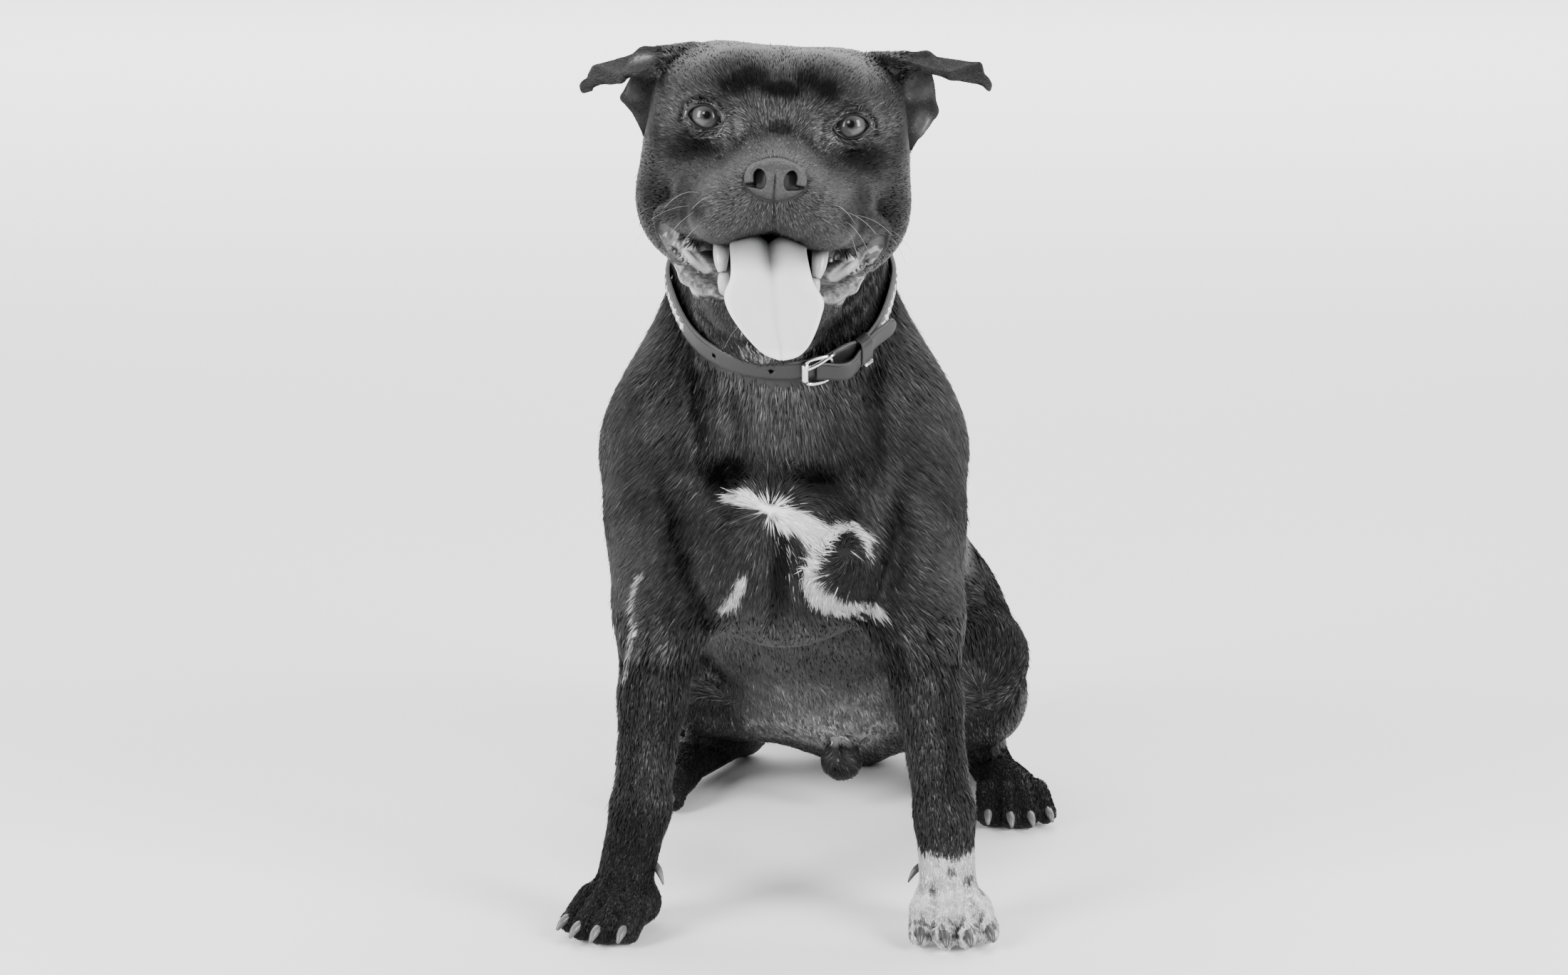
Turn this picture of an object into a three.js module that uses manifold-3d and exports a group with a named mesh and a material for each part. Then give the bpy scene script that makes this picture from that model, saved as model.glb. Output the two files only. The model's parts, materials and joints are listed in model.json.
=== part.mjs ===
// A life-size dog of the bull-terrier kind, sitting square on the floor with its head up and its mouth open.
// Millimetres. The dog looks along -Y, its left side is +X, +Z is up and z = 0 is the floor.
// The body is one smooth distance field built on joints and muscles, meshed and parted with thin plane cuts.
import * as THREE from 'three';
import { mergeVertices } from 'three/addons/utils/BufferGeometryUtils.js';
import Module from 'manifold-3d';

// ---- driving dimensions -------------------------------------------------------------------------------
const GAP = 0.35;                 // clear space between neighbouring solids
const SHIFT = [-21.8, -19.2, 0];  // moves the whole dog so that its origin is under the middle of its box
const CELL = { trunk: 16, leg: 10, head: 7.5, paw: 7, tail: 9, ear: 3.6, nose: 4.5 };   // fineness of each net
const KEEP = { trunk: 1.5, leg: 0.9, head: 0.75, paw: 0.8, tail: 0.9, ear: 0.6, nose: 0.4 };  // and how true it stays

const HEAD_AT = [-3, -185, 484];  // the point between the eyes
const HEAD_ROLL = 3.6;            // degrees, left side lower
const HEAD_NOD = 5;               // degrees, nose raised
const EYE_AT = [40.5, 2, 0];
const EYE_R = 11.2;
const EAR_LIFT = { right: -7, left: 8 };
const EAR_REACH = { right: 2, left: 8 };

const SPINE = [                   // from withers to croup: centre, radius
  [[0, -40, 279], 93], [[8, 24, 233], 96], [[21, 86, 180], 92], [[36, 143, 133], 86], [[49, 188, 92], 78],
];
const FORE = {                    // shoulder, elbow, wrist; heading is degrees outward
  right: { shoulder: [-69, -116, 240], elbow: [-73, -100, 186], wrist: [-86, -131, 70], heading: 31 },
  left: { shoulder: [71, -116, 240], elbow: [79, -100, 183], wrist: [96, -135, 68], heading: 5 },
};
const REAR_AT = [49, 185, 0];     // the pelvis, turned a little to the dog's right
const REAR_YAW = -9.1;
const TAIL = [
  [50, 232, 46, 18], [52, 262, 24, 15], [28, 284, 12.5, 12.5], [-22, 292, 10, 10], [-72, 272, 8, 8], [-100, 238, 6, 5.5],
];
const COLLAR = { at: [-1, -70, 376], tilt: 26.5, wide: 12, thick: 3, sink: 0.6 };

// ---- vectors and turns --------------------------------------------------------------------------------
const add = (a, b) => [a[0] + b[0], a[1] + b[1], a[2] + b[2]];
const sub = (a, b) => [a[0] - b[0], a[1] - b[1], a[2] - b[2]];
const mul = (a, s) => [a[0] * s, a[1] * s, a[2] * s];
const dot = (a, b) => a[0] * b[0] + a[1] * b[1] + a[2] * b[2];
const cross = (a, b) => [a[1] * b[2] - a[2] * b[1], a[2] * b[0] - a[0] * b[2], a[0] * b[1] - a[1] * b[0]];
const len = (a) => Math.sqrt(dot(a, a));
const unit = (a) => mul(a, 1 / len(a));
const mix = (a, b, t) => add(mul(a, 1 - t), mul(b, t));
const clamp = (v, lo, hi) => Math.min(hi, Math.max(lo, v));
const rad = THREE.MathUtils.degToRad;

const HEAD_TURN = new THREE.Matrix4().makeRotationY(rad(HEAD_ROLL))
  .multiply(new THREE.Matrix4().makeRotationX(rad(-HEAD_NOD)));
const axisOf = (m, i) => { const v = new THREE.Vector3().setFromMatrixColumn(m, i); return [v.x, v.y, v.z]; };
const HEAD_AXES = [0, 1, 2].map((i) => axisOf(HEAD_TURN, i));
const toHead = (p) => { const q = sub(p, HEAD_AT); return HEAD_AXES.map((a) => dot(q, a)); };
const fromHead = (q) => HEAD_AXES.reduce((p, a, i) => add(p, mul(a, q[i])), HEAD_AT);
const half = (q) => [Math.abs(q[0]), q[1], q[2]];
const yawed = (x, y, deg) => [x * Math.cos(rad(deg)) - y * Math.sin(rad(deg)), x * Math.sin(rad(deg)) + y * Math.cos(rad(deg))];
const rear = (x, y, z) => { const [u, v] = yawed(x, y, REAR_YAW); return [REAR_AT[0] + u, REAR_AT[1] + v, z]; };

// ---- distance functions -------------------------------------------------------------------------------
// a tapering limb from a to b with round ends
function cone(p, a, b, ra, rb) {
  const pa = sub(p, a), ba = sub(b, a), h = clamp(dot(pa, ba) / dot(ba, ba), 0, 1);
  return len(sub(pa, mul(ba, h))) - (ra + h * (rb - ra));
}
// an egg-shaped muscle with half sizes r
function egg(p, c, r) {
  const q = sub(p, c);
  const k0 = Math.hypot(q[0] / r[0], q[1] / r[1], q[2] / r[2]);
  const k1 = Math.hypot(q[0] / r[0] ** 2, q[1] / r[1] ** 2, q[2] / r[2] ** 2) + 1e-9;
  return k0 * (k0 - 1) / k1;
}
// a thin plate with round edges over the triangle abc
function plate(p, a, b, c, r) {
  const e = [sub(b, a), sub(c, b), sub(a, c)], q = [sub(p, a), sub(p, b), sub(p, c)], n = cross(e[0], e[2]);
  let side = 0, edge = Infinity;
  for (let i = 0; i < 3; i++) {
    side += Math.sign(dot(cross(e[i], n), q[i]));
    const d = sub(mul(e[i], clamp(dot(e[i], q[i]) / dot(e[i], e[i]), 0, 1)), q[i]);
    edge = Math.min(edge, dot(d, d));
  }
  return Math.sqrt(side < 2 ? edge : dot(n, q[0]) ** 2 / dot(n, n)) - r;
}
// the union of two shapes with a fillet of about k
function join(a, b, k) {
  if (a > b + k) return b;
  if (b > a + k) return a;
  const h = 0.5 + 0.5 * (b - a) / k;
  return b + (a - b) * h - k * h * (1 - h);
}
const carve = (a, b, k) => -join(-a, b, k);

// ---- head, in its own frame: x out to either side, y back, z up ------------------------------------------
function skull(q) {
  let d = egg(q, [0, 42, 4], [58, 62, 40]);
  d = join(d, egg(q, [34, 52, 8], [40, 54, 37]), 10);            // temple muscle
  d = join(d, egg(q, [24, 10, 16], [25, 26, 22]), 14);           // brow
  d = join(d, egg(q, [50, 36, -14], [25, 36, 24]), 14);          // cheek bone
  d = join(d, egg(q, [53, 54, -43], [27, 36, 38]), 14);          // chewing muscle
  d = join(d, cone(q, [0, -8, -24], [0, -56, -34], 24, 17), 14); // bridge of the nose
  d = join(d, egg(q, [0, -27, -40], [39, 39, 24]), 12);          // upper jaw
  d = join(d, egg(q, [31, 8, -37], [27, 34, 25]), 14);
  return d;
}
function lips(q) {
  let d = egg(q, [26, -29, -53], [21, 35, 17]);
  d = join(d, egg(q, [10, -56, -45], [15, 13, 14]), 12);
  return join(d, cone(q, [42, -14, -55], [61, 14, -57], 12, 7), 10);
}
function nosePad(q) {
  const d = egg(q, [0, -66, -30], [15, 11, 10.5]);
  return join(d, egg(q, [9.5, -69, -31], [7.2, 8.5, 7.6]), 4);
}
function lowerJaw(q) {
  let d = cone(q, [46, 42, -66], [20, -26, -104], 19, 13);
  d = join(d, cone(q, [-1, -30, -108], [12, -30, -108], 12, 12), 10);
  d = join(d, egg(q, [0, 10, -104], [40, 42, 16]), 12);
  d = join(d, cone(q, [0, 4, -106], [0, 66, -112], 24, 44), 20);
  const rim = [[61, 12, -66, 4.5], [45, -12, -88, 5.5], [26, -36, -99, 6], [0, -43, -101, 6]];
  let lip = Infinity;
  for (let i = 0; i < 3; i++) lip = join(lip, cone(q, rim[i].slice(0, 3), rim[i + 1].slice(0, 3), rim[i][3], rim[i + 1][3]), 4);
  return join(d, lip, 7);
}
function muzzle(q) {
  const d = carve(skull(q), egg(q, [0, 0, -84], [52, 64, 21]), 5);
  return join(join(d, lips(q), 10), lowerJaw(q), 8);
}
// an ear: a flap folded forward over a cup, both thin
function earOf(q, side) {
  const s = side === 'left' ? 1 : -1, lift = EAR_LIFT[side];
  const at = (x, y, z, w = 0) => [s * (x + EAR_REACH[side] * w), y, z + lift * w];
  const front = at(52, 42, 39, 0.1), top = at(78, 54, 38, 0.5), far = at(104, 44, 31, 1), tip = at(113.5, 32, 16, 1);
  const edge = at(88, 31, 25, 0.9), lobe = at(88, 58, 10, 0.2), low = at(76, 52, -8), base = at(62, 62, 26);
  let d = plate(q, front, top, edge, 3.2);
  d = join(d, plate(q, top, far, edge, 3.2), 3);
  d = join(d, plate(q, far, tip, edge, 3), 3);
  d = join(d, plate(q, front, top, base, 4), 5);
  d = join(d, plate(q, top, lobe, base, 3.4), 5);
  return join(d, plate(q, base, lobe, low, 3.6), 5);
}

// ---- neck, trunk and limbs --------------------------------------------------------------------------------
function neck(p) {
  const d = cone(p, [-4, -106, 452], [-1, -34, 340], 58, 71);
  return join(d, cone(p, [-2, -112, 400], [0, -92, 320], 50, 58), 20);
}
function trunk(p) {
  const f = 0.95, w = ([x, y, z]) => [x / f, y, z];              // the ribs are a little flatter than round
  let d = Infinity;
  for (let i = 0; i + 1 < SPINE.length; i++) {
    d = join(d, f * cone(w(p), w(SPINE[i][0]), w(SPINE[i + 1][0]), SPINE[i][1], SPINE[i + 1][1]), 45);
  }
  d = join(d, egg(p, [0, -81, 244], [76, 73, 87]), 25);          // breast
  for (const s of [-1, 1]) {
    d = join(d, egg(p, [s * 66, -70, 272], [40, 60, 68]), 30);   // shoulder
    d = join(d, cone(p, [s * 20, -24, 332], [s * 62, -80, 278], 38, 42), 30);
  }
  d = join(d, cone(p, [49, 200, 62], [50, 210, 39], 60, 42), 25);
  return join(d, join(cone(p, [40, 112, 62], [39, 98, 42], 12, 11), egg(p, [38.5, 92, 33], [15, 15, 13.5]), 6), 6);
}
function foreLeg(p, side) {
  const { shoulder, elbow, wrist } = FORE[side], mid = mix(wrist, elbow, 0.55);
  let d = cone(p, shoulder, elbow, 38, 30);
  d = join(d, cone(p, add(elbow, [0, 24, 4]), add(elbow, [0, 0, -20]), 20, 18), 16);
  d = join(d, cone(p, elbow, mid, 28, 20.5), 12);
  return join(d, cone(p, mid, wrist, 20.5, 18), 10);
}
const headingOf = (side, deg) => {
  const s = side === 'left' ? 1 : -1, t = rad(deg) * s;
  return { ahead: [Math.sin(t), -Math.cos(t), 0], across: [Math.cos(t), Math.sin(t), 0] };
};
// the four toes of a paw standing at a point of the floor: knuckle and tip of each
function toes(at, h) {
  return [-1.5, -0.5, 0.5, 1.5].map((i) => {
    const inner = 1 - Math.abs(i) / 1.5;
    const place = (f, w, z) => add(at, add(add(mul(h.ahead, f), mul(h.across, w)), [0, 0, z]));
    return { knuckle: place(26 + 7 * inner, i * 10.6, 19), tip: place(41 + 11 * inner, i * 12.9, 8) };
  });
}
function paw(p, at, h) {
  const c = add(at, add(mul(h.ahead, 14), [0, 0, 15])), q = sub(p, c);
  let d = egg([dot(q, h.across), dot(q, h.ahead), q[2]], [0, 0, 0], [22, 24, 17]);
  for (const t of toes(at, h)) d = join(d, cone(p, t.knuckle, t.tip, 9.5, 8.2), 4);
  return d;
}
const FOREPAW = {}, HINDPAW = {};
for (const side of ['left', 'right']) {
  const f = FORE[side], s = side === 'left' ? 1 : -1, h = headingOf(side, f.heading);
  FOREPAW[side] = { at: add([f.wrist[0], f.wrist[1], 0], mul(h.ahead, 4)), ...h };
  const hock = rear(s * 84, 22, 0), foot = rear(s * 112, -72, 0), u = unit(sub(foot, hock));
  const g = headingOf(side, THREE.MathUtils.radToDeg(Math.atan2(u[0] * s, -u[1])));
  HINDPAW[side] = { at: add(foot, mul(g.ahead, 2)), ...g };
}
function forePaw(p, side) {
  const w = FOREPAW[side];
  return join(cone(p, FORE[side].wrist, add(add(w.at, mul(w.ahead, 17)), [0, 0, 23]), 18, 17), paw(p, w.at, w), 8);
}
function hindLeg(p, side) {
  const s = side === 'left' ? 1 : -1;
  const hip = rear(s * 46, -6, 118), knee = rear(s * 93, -98, 110), hock = rear(s * 84, 22, 19), foot = rear(s * 110, -72, 18);
  let d = cone(p, hip, knee, 55, 35);
  d = join(d, cone(p, rear(s * 52, 0, 70), rear(s * 92, -60, 72), 50, 34), 20);
  d = join(d, egg(p, rear(s * 66, -30, 102), [37, 80, 60]), 26);            // thigh muscle
  d = join(d, cone(p, knee, hock, 32, 18), 16);
  return join(d, cone(p, hock, foot, 17, 15), 10);
}
function hindPaw(p, side) {
  const w = HINDPAW[side], a = add(w.at, [0, 0, 18]);
  return join(cone(p, a, add(a, mul(w.ahead, 12)), 15, 15), paw(p, w.at, w), 8);
}
function tail(p) {
  let d = Infinity;
  for (let i = 0; i + 1 < TAIL.length; i++) {
    d = join(d, cone(p, TAIL[i].slice(0, 3), TAIL[i + 1].slice(0, 3), TAIL[i][3], TAIL[i + 1][3]), 6);
  }
  return d;
}
function body(p) {
  let d = join(trunk(p), neck(p), 35);
  for (const side of ['left', 'right']) d = join(join(d, foreLeg(p, side), 22), hindLeg(p, side), 22);
  for (const side of ['left', 'right']) d = join(join(d, forePaw(p, side), 8), hindPaw(p, side), 8);
  return join(d, tail(p), 14);
}
const flesh = (p) => join(body(p), muzzle(half(toHead(p))), 18);
const earFlesh = (side) => (p) => {
  const q = toHead(p), ear = earOf(q, side), head = flesh(p);
  return Math.max(join(head, ear, 7), ear - 3.5, 4 * GAP - head);
};
const noseFlesh = (p) => {
  const q = half(toHead(p)), nose = nosePad(q), head = flesh(p);
  return Math.max(join(head, nose, 4), nose - 2, 3 * GAP - head);
};

// ---- from a distance field to a closed mesh: one vertex in each cell that the surface crosses ------------------
function surfaceNet(field, lo, hi, cell, keep) {
  const n = [0, 1, 2].map((i) => Math.ceil((hi[i] - lo[i]) / cell)), m = n.map((k) => k + 1);
  const at = (i, j, k) => (k * m[1] + j) * m[0] + i;
  const point = (i, j, k) => [lo[0] + i * cell, lo[1] + j * cell, lo[2] + k * cell];
  const value = new Float64Array(m[0] * m[1] * m[2]);
  for (let k = 0; k < m[2]; k++) for (let j = 0; j < m[1]; j++) for (let i = 0; i < m[0]; i++) {
    const rim = i === 0 || j === 0 || k === 0 || i === n[0] || j === n[1] || k === n[2];
    value[at(i, j, k)] = rim ? 20 * cell : field(point(i, j, k));
  }
  // no cell face may have its inside corners on one diagonal only: fill the weaker outside corner
  const step = [[1, 0, 0], [0, 1, 0], [0, 0, 1]];
  for (let again = true; again;) {
    again = false;
    for (let k = 1; k < n[2]; k++) for (let j = 1; j < n[1]; j++) for (let i = 1; i < n[0]; i++) for (let a = 0; a < 3; a++) {
      const [u, w] = [step[(a + 1) % 3], step[(a + 2) % 3]], c = [i, j, k];
      const f = [c, add(c, u), add(add(c, u), w), add(c, w)].map((x) => at(...x)), s = f.map((x) => value[x] < 0);
      if (s[0] === s[2] && s[1] === s[3] && s[0] !== s[1]) {
        const [x, y] = s[0] ? [f[1], f[3]] : [f[0], f[2]];
        value[value[x] < value[y] ? x : y] = -0.05 * cell;
        again = true;
      }
    }
  }
  const id = new Map(), verts = [], quads = [];
  for (let k = 0; k < n[2]; k++) for (let j = 0; j < n[1]; j++) for (let i = 0; i < n[0]; i++) {
    let sum = [0, 0, 0], count = 0;
    for (let a = 0; a < 3; a++) for (let b = 0; b < 4; b++) {
      const o = [0, 0, 0];
      o[(a + 1) % 3] = b & 1; o[(a + 2) % 3] = b >> 1;
      const s = add([i, j, k], o), e = add(s, step[a]), v0 = value[at(...s)], v1 = value[at(...e)];
      if ((v0 < 0) !== (v1 < 0)) { sum = add(sum, add(s, mul(step[a], v0 / (v0 - v1)))); count++; }
    }
    if (count) { id.set(at(i, j, k), verts.length); verts.push(point(...mul(sum, 1 / count))); }
  }
  for (let k = 0; k < n[2]; k++) for (let j = 0; j < n[1]; j++) for (let i = 0; i < n[0]; i++) for (let a = 0; a < 3; a++) {
    if ([i, j, k].some((v, b) => b !== a && v === 0)) continue;
    const v0 = value[at(i, j, k)], v1 = value[at(...add([i, j, k], step[a]))];
    if ((v0 < 0) === (v1 < 0)) continue;
    const u = step[(a + 1) % 3], w = step[(a + 2) % 3], c = [i, j, k];
    const q = [sub(sub(c, u), w), sub(c, w), c, sub(c, u)].map((x) => id.get(at(...x)));
    quads.push(v0 < 0 ? q : q.reverse());
  }
  // draw each vertex onto the surface
  for (let round = 0; round < 2; round++) for (const v of verts) {
    const e = cell * 0.2, d = field(v);
    const g = step.map((s) => (field(add(v, mul(s, e))) - field(sub(v, mul(s, e)))) / (2 * e));
    const t = clamp(d / Math.max(dot(g, g), 0.3), -cell * 0.45, cell * 0.45);
    for (let a = 0; a < 3; a++) v[a] -= t * g[a];
  }
  const tris = [];
  for (const [a, b, c, d] of quads) {
    if (len(sub(verts[a], verts[c])) <= len(sub(verts[b], verts[d]))) tris.push([a, b, c], [a, c, d]);
    else tris.push([a, b, d], [b, c, d]);
  }
  return fold(verts, tris, keep);
}
// folds short edges away wherever the surface stays within keep of what it was
function fold(verts, tris, keep) {
  const normal = (a, b, c) => cross(sub(b, a), sub(c, a));
  const sum = verts.map(() => new Float64Array(11));            // squared distance to the planes around, and their area
  for (const t of tris) {
    const n = normal(...t.map((v) => verts[v])), area = len(n) / 2 + 1e-12, u = mul(n, 0.5 / area), d = -dot(u, verts[t[0]]);
    const e = [u[0] * u[0], u[0] * u[1], u[0] * u[2], u[0] * d, u[1] * u[1], u[1] * u[2], u[1] * d, u[2] * u[2], u[2] * d, d * d, 1];
    for (const v of t) e.forEach((x, i) => { sum[v][i] += area * x; });
  }
  const miss = (q, [x, y, z]) => (q[0] * x * x + q[4] * y * y + q[7] * z * z + q[9] + 2 * (q[1] * x * y + q[2] * x * z
    + q[5] * y * z + q[3] * x + q[6] * y + q[8] * z)) / q[10];
  for (let pass = 0, folded = 1; pass < 14 && folded; pass++) {
    folded = 0;
    const around = verts.map(() => []);
    for (const t of tris) for (const v of t) around[v].push(t);
    const found = [];
    for (const t of tris) for (let i = 0; i < 3; i++) {
      const a = t[i], b = t[(i + 1) % 3];
      if (a > b) continue;
      const q = sum[a].map((x, k) => x + sum[b][k]);
      for (const place of [verts[a], verts[b], mix(verts[a], verts[b], 0.5)]) {
        const cost = miss(q, place);
        if (cost < keep * keep) found.push({ cost: cost + 1e-6 * len(sub(verts[a], verts[b])), a, b, place });
      }
    }
    found.sort((x, y) => x.cost - y.cost);
    const busy = new Set(), gone = new Set();
    for (const { a, b, place } of found) {
      if (busy.has(a) || busy.has(b)) continue;
      const near = [a, b].map((v) => new Set(around[v].flat().filter((w) => w !== a && w !== b)));
      if ([...near[0]].filter((v) => near[1].has(v)).length !== 2) continue;
      const moved = [...around[a], ...around[b]].filter((t) => !(t.includes(a) && t.includes(b)));
      const flips = moved.some((t) => {
        const before = normal(...t.map((v) => verts[v])), after = normal(...t.map((v) => (v === a || v === b ? place : verts[v])));
        return dot(before, after) < 0.5 * len(before) * len(after) || len(after) < 0.02 * len(before);
      });
      if (flips) continue;
      for (const t of around[a]) if (t.includes(b)) gone.add(t);
      for (const t of around[b]) if (!gone.has(t)) t[t.indexOf(b)] = a;
      sum[b].forEach((x, k) => { sum[a][k] += x; });
      verts[a] = place;
      for (const v of [a, b, ...near[0], ...near[1]]) busy.add(v);
      folded++;
    }
    tris = tris.filter((t) => !gone.has(t));
  }
  const used = [...new Set(tris.flat())], slot = new Map(used.map((v, i) => [v, i]));
  const g = new THREE.BufferGeometry();
  g.setAttribute('position', new THREE.Float32BufferAttribute(used.flatMap((v) => verts[v]), 3));
  return g.setIndex(tris.flat().map((v) => slot.get(v)));
}

// a solid through closed rings of points, first and last ring capped at their middles
function loft(rings, closed = false) {
  const n = rings[0].length, pts = rings.flat(), index = [], count = rings.length;
  for (let r = 0; r < (closed ? count : count - 1); r++) for (let i = 0; i < n; i++) {
    const a = r * n + i, b = r * n + (i + 1) % n, c = ((r + 1) % count) * n + i, d = ((r + 1) % count) * n + (i + 1) % n;
    index.push(a, b, d, a, d, c);
  }
  if (!closed) for (const [r, flip] of [[0, true], [count - 1, false]]) {
    pts.push(mul(rings[r].reduce(add), 1 / n));
    for (let i = 0; i < n; i++) {
      const t = [r * n + i, r * n + (i + 1) % n, pts.length - 1];
      index.push(...(flip ? t.reverse() : t));
    }
  }
  let volume = 0;
  for (let i = 0; i < index.length; i += 3) volume += dot(pts[index[i]], cross(pts[index[i + 1]], pts[index[i + 2]]));
  const g = new THREE.BufferGeometry();
  g.setAttribute('position', new THREE.Float32BufferAttribute(pts.flat(), 3));
  return g.setIndex(volume < 0 ? index.reverse() : index);
}
// rings of an ellipse, half sizes a and b, around stations with axes u and w
const ring = (c, u, w, a, b, n) => Array.from({ length: n }, (_, i) => {
  const t = 2 * Math.PI * i / n;
  return add(c, add(mul(u, a * Math.cos(t)), mul(w, b * Math.sin(t))));
});

// the biggest of the separate shells in a mesh: a cut can leave a crumb
function largest(verts, tris) {
  const root = verts.map((_, i) => i);
  const find = (i) => { while (root[i] !== i) i = root[i] = root[root[i]]; return i; };
  for (const [a, b, c] of tris) { root[find(a)] = find(b); root[find(b)] = find(c); }
  const count = new Map();
  for (const t of tris) count.set(find(t[0]), (count.get(find(t[0])) || 0) + 1);
  const best = [...count].sort((x, y) => y[1] - x[1])[0][0];
  return tris.filter((t) => find(t[0]) === best);
}

// ---- solids ------------------------------------------------------------------------------------------------
const wasm = await Module();
wasm.setup();
function solid(geometry, matrix) {
  let g = geometry.clone();
  if (matrix) g.applyMatrix4(matrix);
  for (const name of ['normal', 'uv']) if (g.getAttribute(name)) g.deleteAttribute(name);
  g = mergeVertices(g, 1e-4);
  let s = new wasm.Manifold(new wasm.Mesh({
    numProp: 3, vertProperties: new Float32Array(g.attributes.position.array), triVerts: new Uint32Array(g.index.array),
  }));
  return s;
}
const netSolid = (field, lo, hi, kind) => solid(surfaceNet(field, lo, hi, CELL[kind], KEEP[kind]));
// a cutting block: centre, full sizes and a turn about x, y, z in degrees, larger all round by grow
function block(c, size, turn = [0, 0, 0], grow = 0) {
  const m = new THREE.Matrix4().makeRotationFromEuler(new THREE.Euler(...turn.map(rad), 'ZYX')).setPosition(...c);
  return solid(new THREE.BoxGeometry(...size.map((v) => v + 2 * grow)), m);
}
const between = (lo, hi, grow = 0) => block(mix(lo, hi, 0.5), sub(hi, lo), [0, 0, 0], grow);

// ---- materials -----------------------------------------------------------------------------------------------
const paint = (color, roughness, metalness = 0) => () => new THREE.MeshStandardMaterial({ color, roughness, metalness });
const LOOK = {
  coat: paint(0x2a2a2a, 0.6), white: paint(0xd8d8d8, 0.7), nose: paint(0x3c3c3c, 0.45), tongue: paint(0xc8c8c8, 0.4),
  eye: paint(0x4a4a4a, 0.08), claw: paint(0x9a9a9a, 0.35), strap: paint(0x383838, 0.4), metal: paint(0xd0d0d0, 0.25, 1),
};
const dog = new THREE.Group();
function place(name, shape, look) {
  const { vertProperties: xyz, triVerts: index } = shape.getMesh();
  const verts = [], tris = [];
  for (let i = 0; i < xyz.length; i += 3) verts.push([xyz[i], xyz[i + 1], xyz[i + 2]]);
  for (let i = 0; i < index.length; i += 3) tris.push([index[i], index[i + 1], index[i + 2]]);
  const g = fold(verts, largest(verts, tris), 0.07);
  g.computeVertexNormals();
  const part = new THREE.Mesh(g, LOOK[look]());
  part.name = name;
  part.position.set(...SHIFT);
  dog.add(part);
}

// ---- collar: its plane rises towards the nape -------------------------------------------------------------------
const COLLAR_UP = [0, -Math.sin(rad(COLLAR.tilt)), Math.cos(rad(COLLAR.tilt))];
const COLLAR_BACK = [0, Math.cos(rad(COLLAR.tilt)), Math.sin(rad(COLLAR.tilt))];
const collarWay = (deg) => add([Math.sin(rad(deg)), 0, 0], mul(COLLAR_BACK, -Math.cos(rad(deg))));
// distance from the collar's middle out to the neck, deg measured from the throat towards the dog's left
function neckRadius(deg) {
  const u = collarWay(deg);
  let lo = 20, hi = 140;
  for (let i = 0; i < 30; i++) {
    const r = (lo + hi) / 2;
    if (body(add(COLLAR.at, mul(u, r))) < 0) lo = r; else hi = r;
  }
  return lo;
}
// a band round the neck between two angles: its inner and outer faces' height over the coat, and its two edges
function band(from, to, inner, outer, z0, z1, steps) {
  const full = to - from >= 360, rings = [];
  for (let i = 0; i < (full ? steps : steps + 1); i++) {
    const deg = from + (to - from) * i / steps, u = collarWay(deg), r = neckRadius(deg);
    const corner = (d, z) => add(COLLAR.at, add(mul(u, r + d), mul(COLLAR_UP, z)));
    rings.push([corner(inner, z0), corner(inner, z1), corner(outer, z1), corner(outer, z0)]);
  }
  return solid(loft(rings, full));
}

// ---- the flesh, in blocks of space: each is cut from a net of its own fineness ----------------------------------------
const floor = between([-400, -400, 0], [400, 500, 700]);   // paws, hocks, rump and tail end in flats at the floor
const taken = [];                                   // blocks that later pieces leave free
function takeFlesh(name, kind, lo, hi, shape, look = 'coat') {
  const region = shape(0), c = CELL[kind];
  let s = netSolid(flesh, sub(lo, [c, c, c]), add(hi, [c, c, c]), kind).intersect(region).intersect(floor);
  for (const other of taken) s = s.subtract(other);
  taken.push(shape(GAP));
  return { name, s, look };
}
const pieces = [];
for (const side of ['left', 'right']) {
  const s = side === 'left' ? 1 : -1, f = FOREPAW[side], b = HINDPAW[side], w = FORE[side].wrist, e = FORE[side].elbow;
  const c = add(f.at, mul(f.ahead, 18));
  pieces.push(takeFlesh(`forepaw_${side}`, 'paw', [c[0] - 60, c[1] - 62, -12], [c[0] + 60, c[1] + 62, 66],
    (g) => between([c[0] - 55, c[1] - 58, -20], [c[0] + 55, c[1] + 58, w[2] - 10], g), side === 'left' ? 'white' : 'coat'));
  pieces.push(takeFlesh(`forearm_${side}`, 'leg', [Math.min(s * 42, s * 140), -185, 50], [Math.max(s * 42, s * 140), -35, 200],
    (g) => between([Math.min(s * 54, s * 150), -190, -10], [Math.max(s * 54, s * 150), -52, e[2] - 16], g)));
  pieces.push(takeFlesh(`upper_arm_${side}`, 'leg', [Math.min(s * 60, s * 140), -190, 150], [Math.max(s * 60, s * 140), -30, 300],
    (g) => between([Math.min(s * 66, s * 150), -200, 100], [Math.max(s * 66, s * 150), -44, 292], g)));
  const t = add(b.at, mul(b.ahead, 20)), deg = THREE.MathUtils.radToDeg(Math.atan2(b.across[1], b.across[0]));
  pieces.push(takeFlesh(`hind_paw_${side}`, 'paw', [t[0] - 50, t[1] - 52, -12], [t[0] + 50, t[1] + 52, 50],
    (g) => block(add(t, [0, 0, 8]), [64, 66, 56], [0, 0, deg], g)));
  const shank = rear(s * 112, -28, 22);
  pieces.push(takeFlesh(`shank_${side}`, 'leg', [shank[0] - 70, shank[1] - 85, -14], [shank[0] + 70, shank[1] + 85, 60],
    (g) => block(shank, [72, 134, 52], [0, 0, REAR_YAW], g)));
  const thigh = rear(s * 117, -50, 120);
  pieces.push(takeFlesh(`thigh_${side}`, 'trunk', [thigh[0] - 80, thigh[1] - 130, 20], [thigh[0] + 80, thigh[1] + 130, 210],
    (g) => block(thigh, [104, 190, 170], [0, 0, REAR_YAW], g)));
}
pieces.push(takeFlesh('tail', 'tail', [-125, 215, -14], [90, 320, 90], (g) => block([0, 284, 60], [280, 76, 160], [-14, 0, 0], g)));

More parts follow.
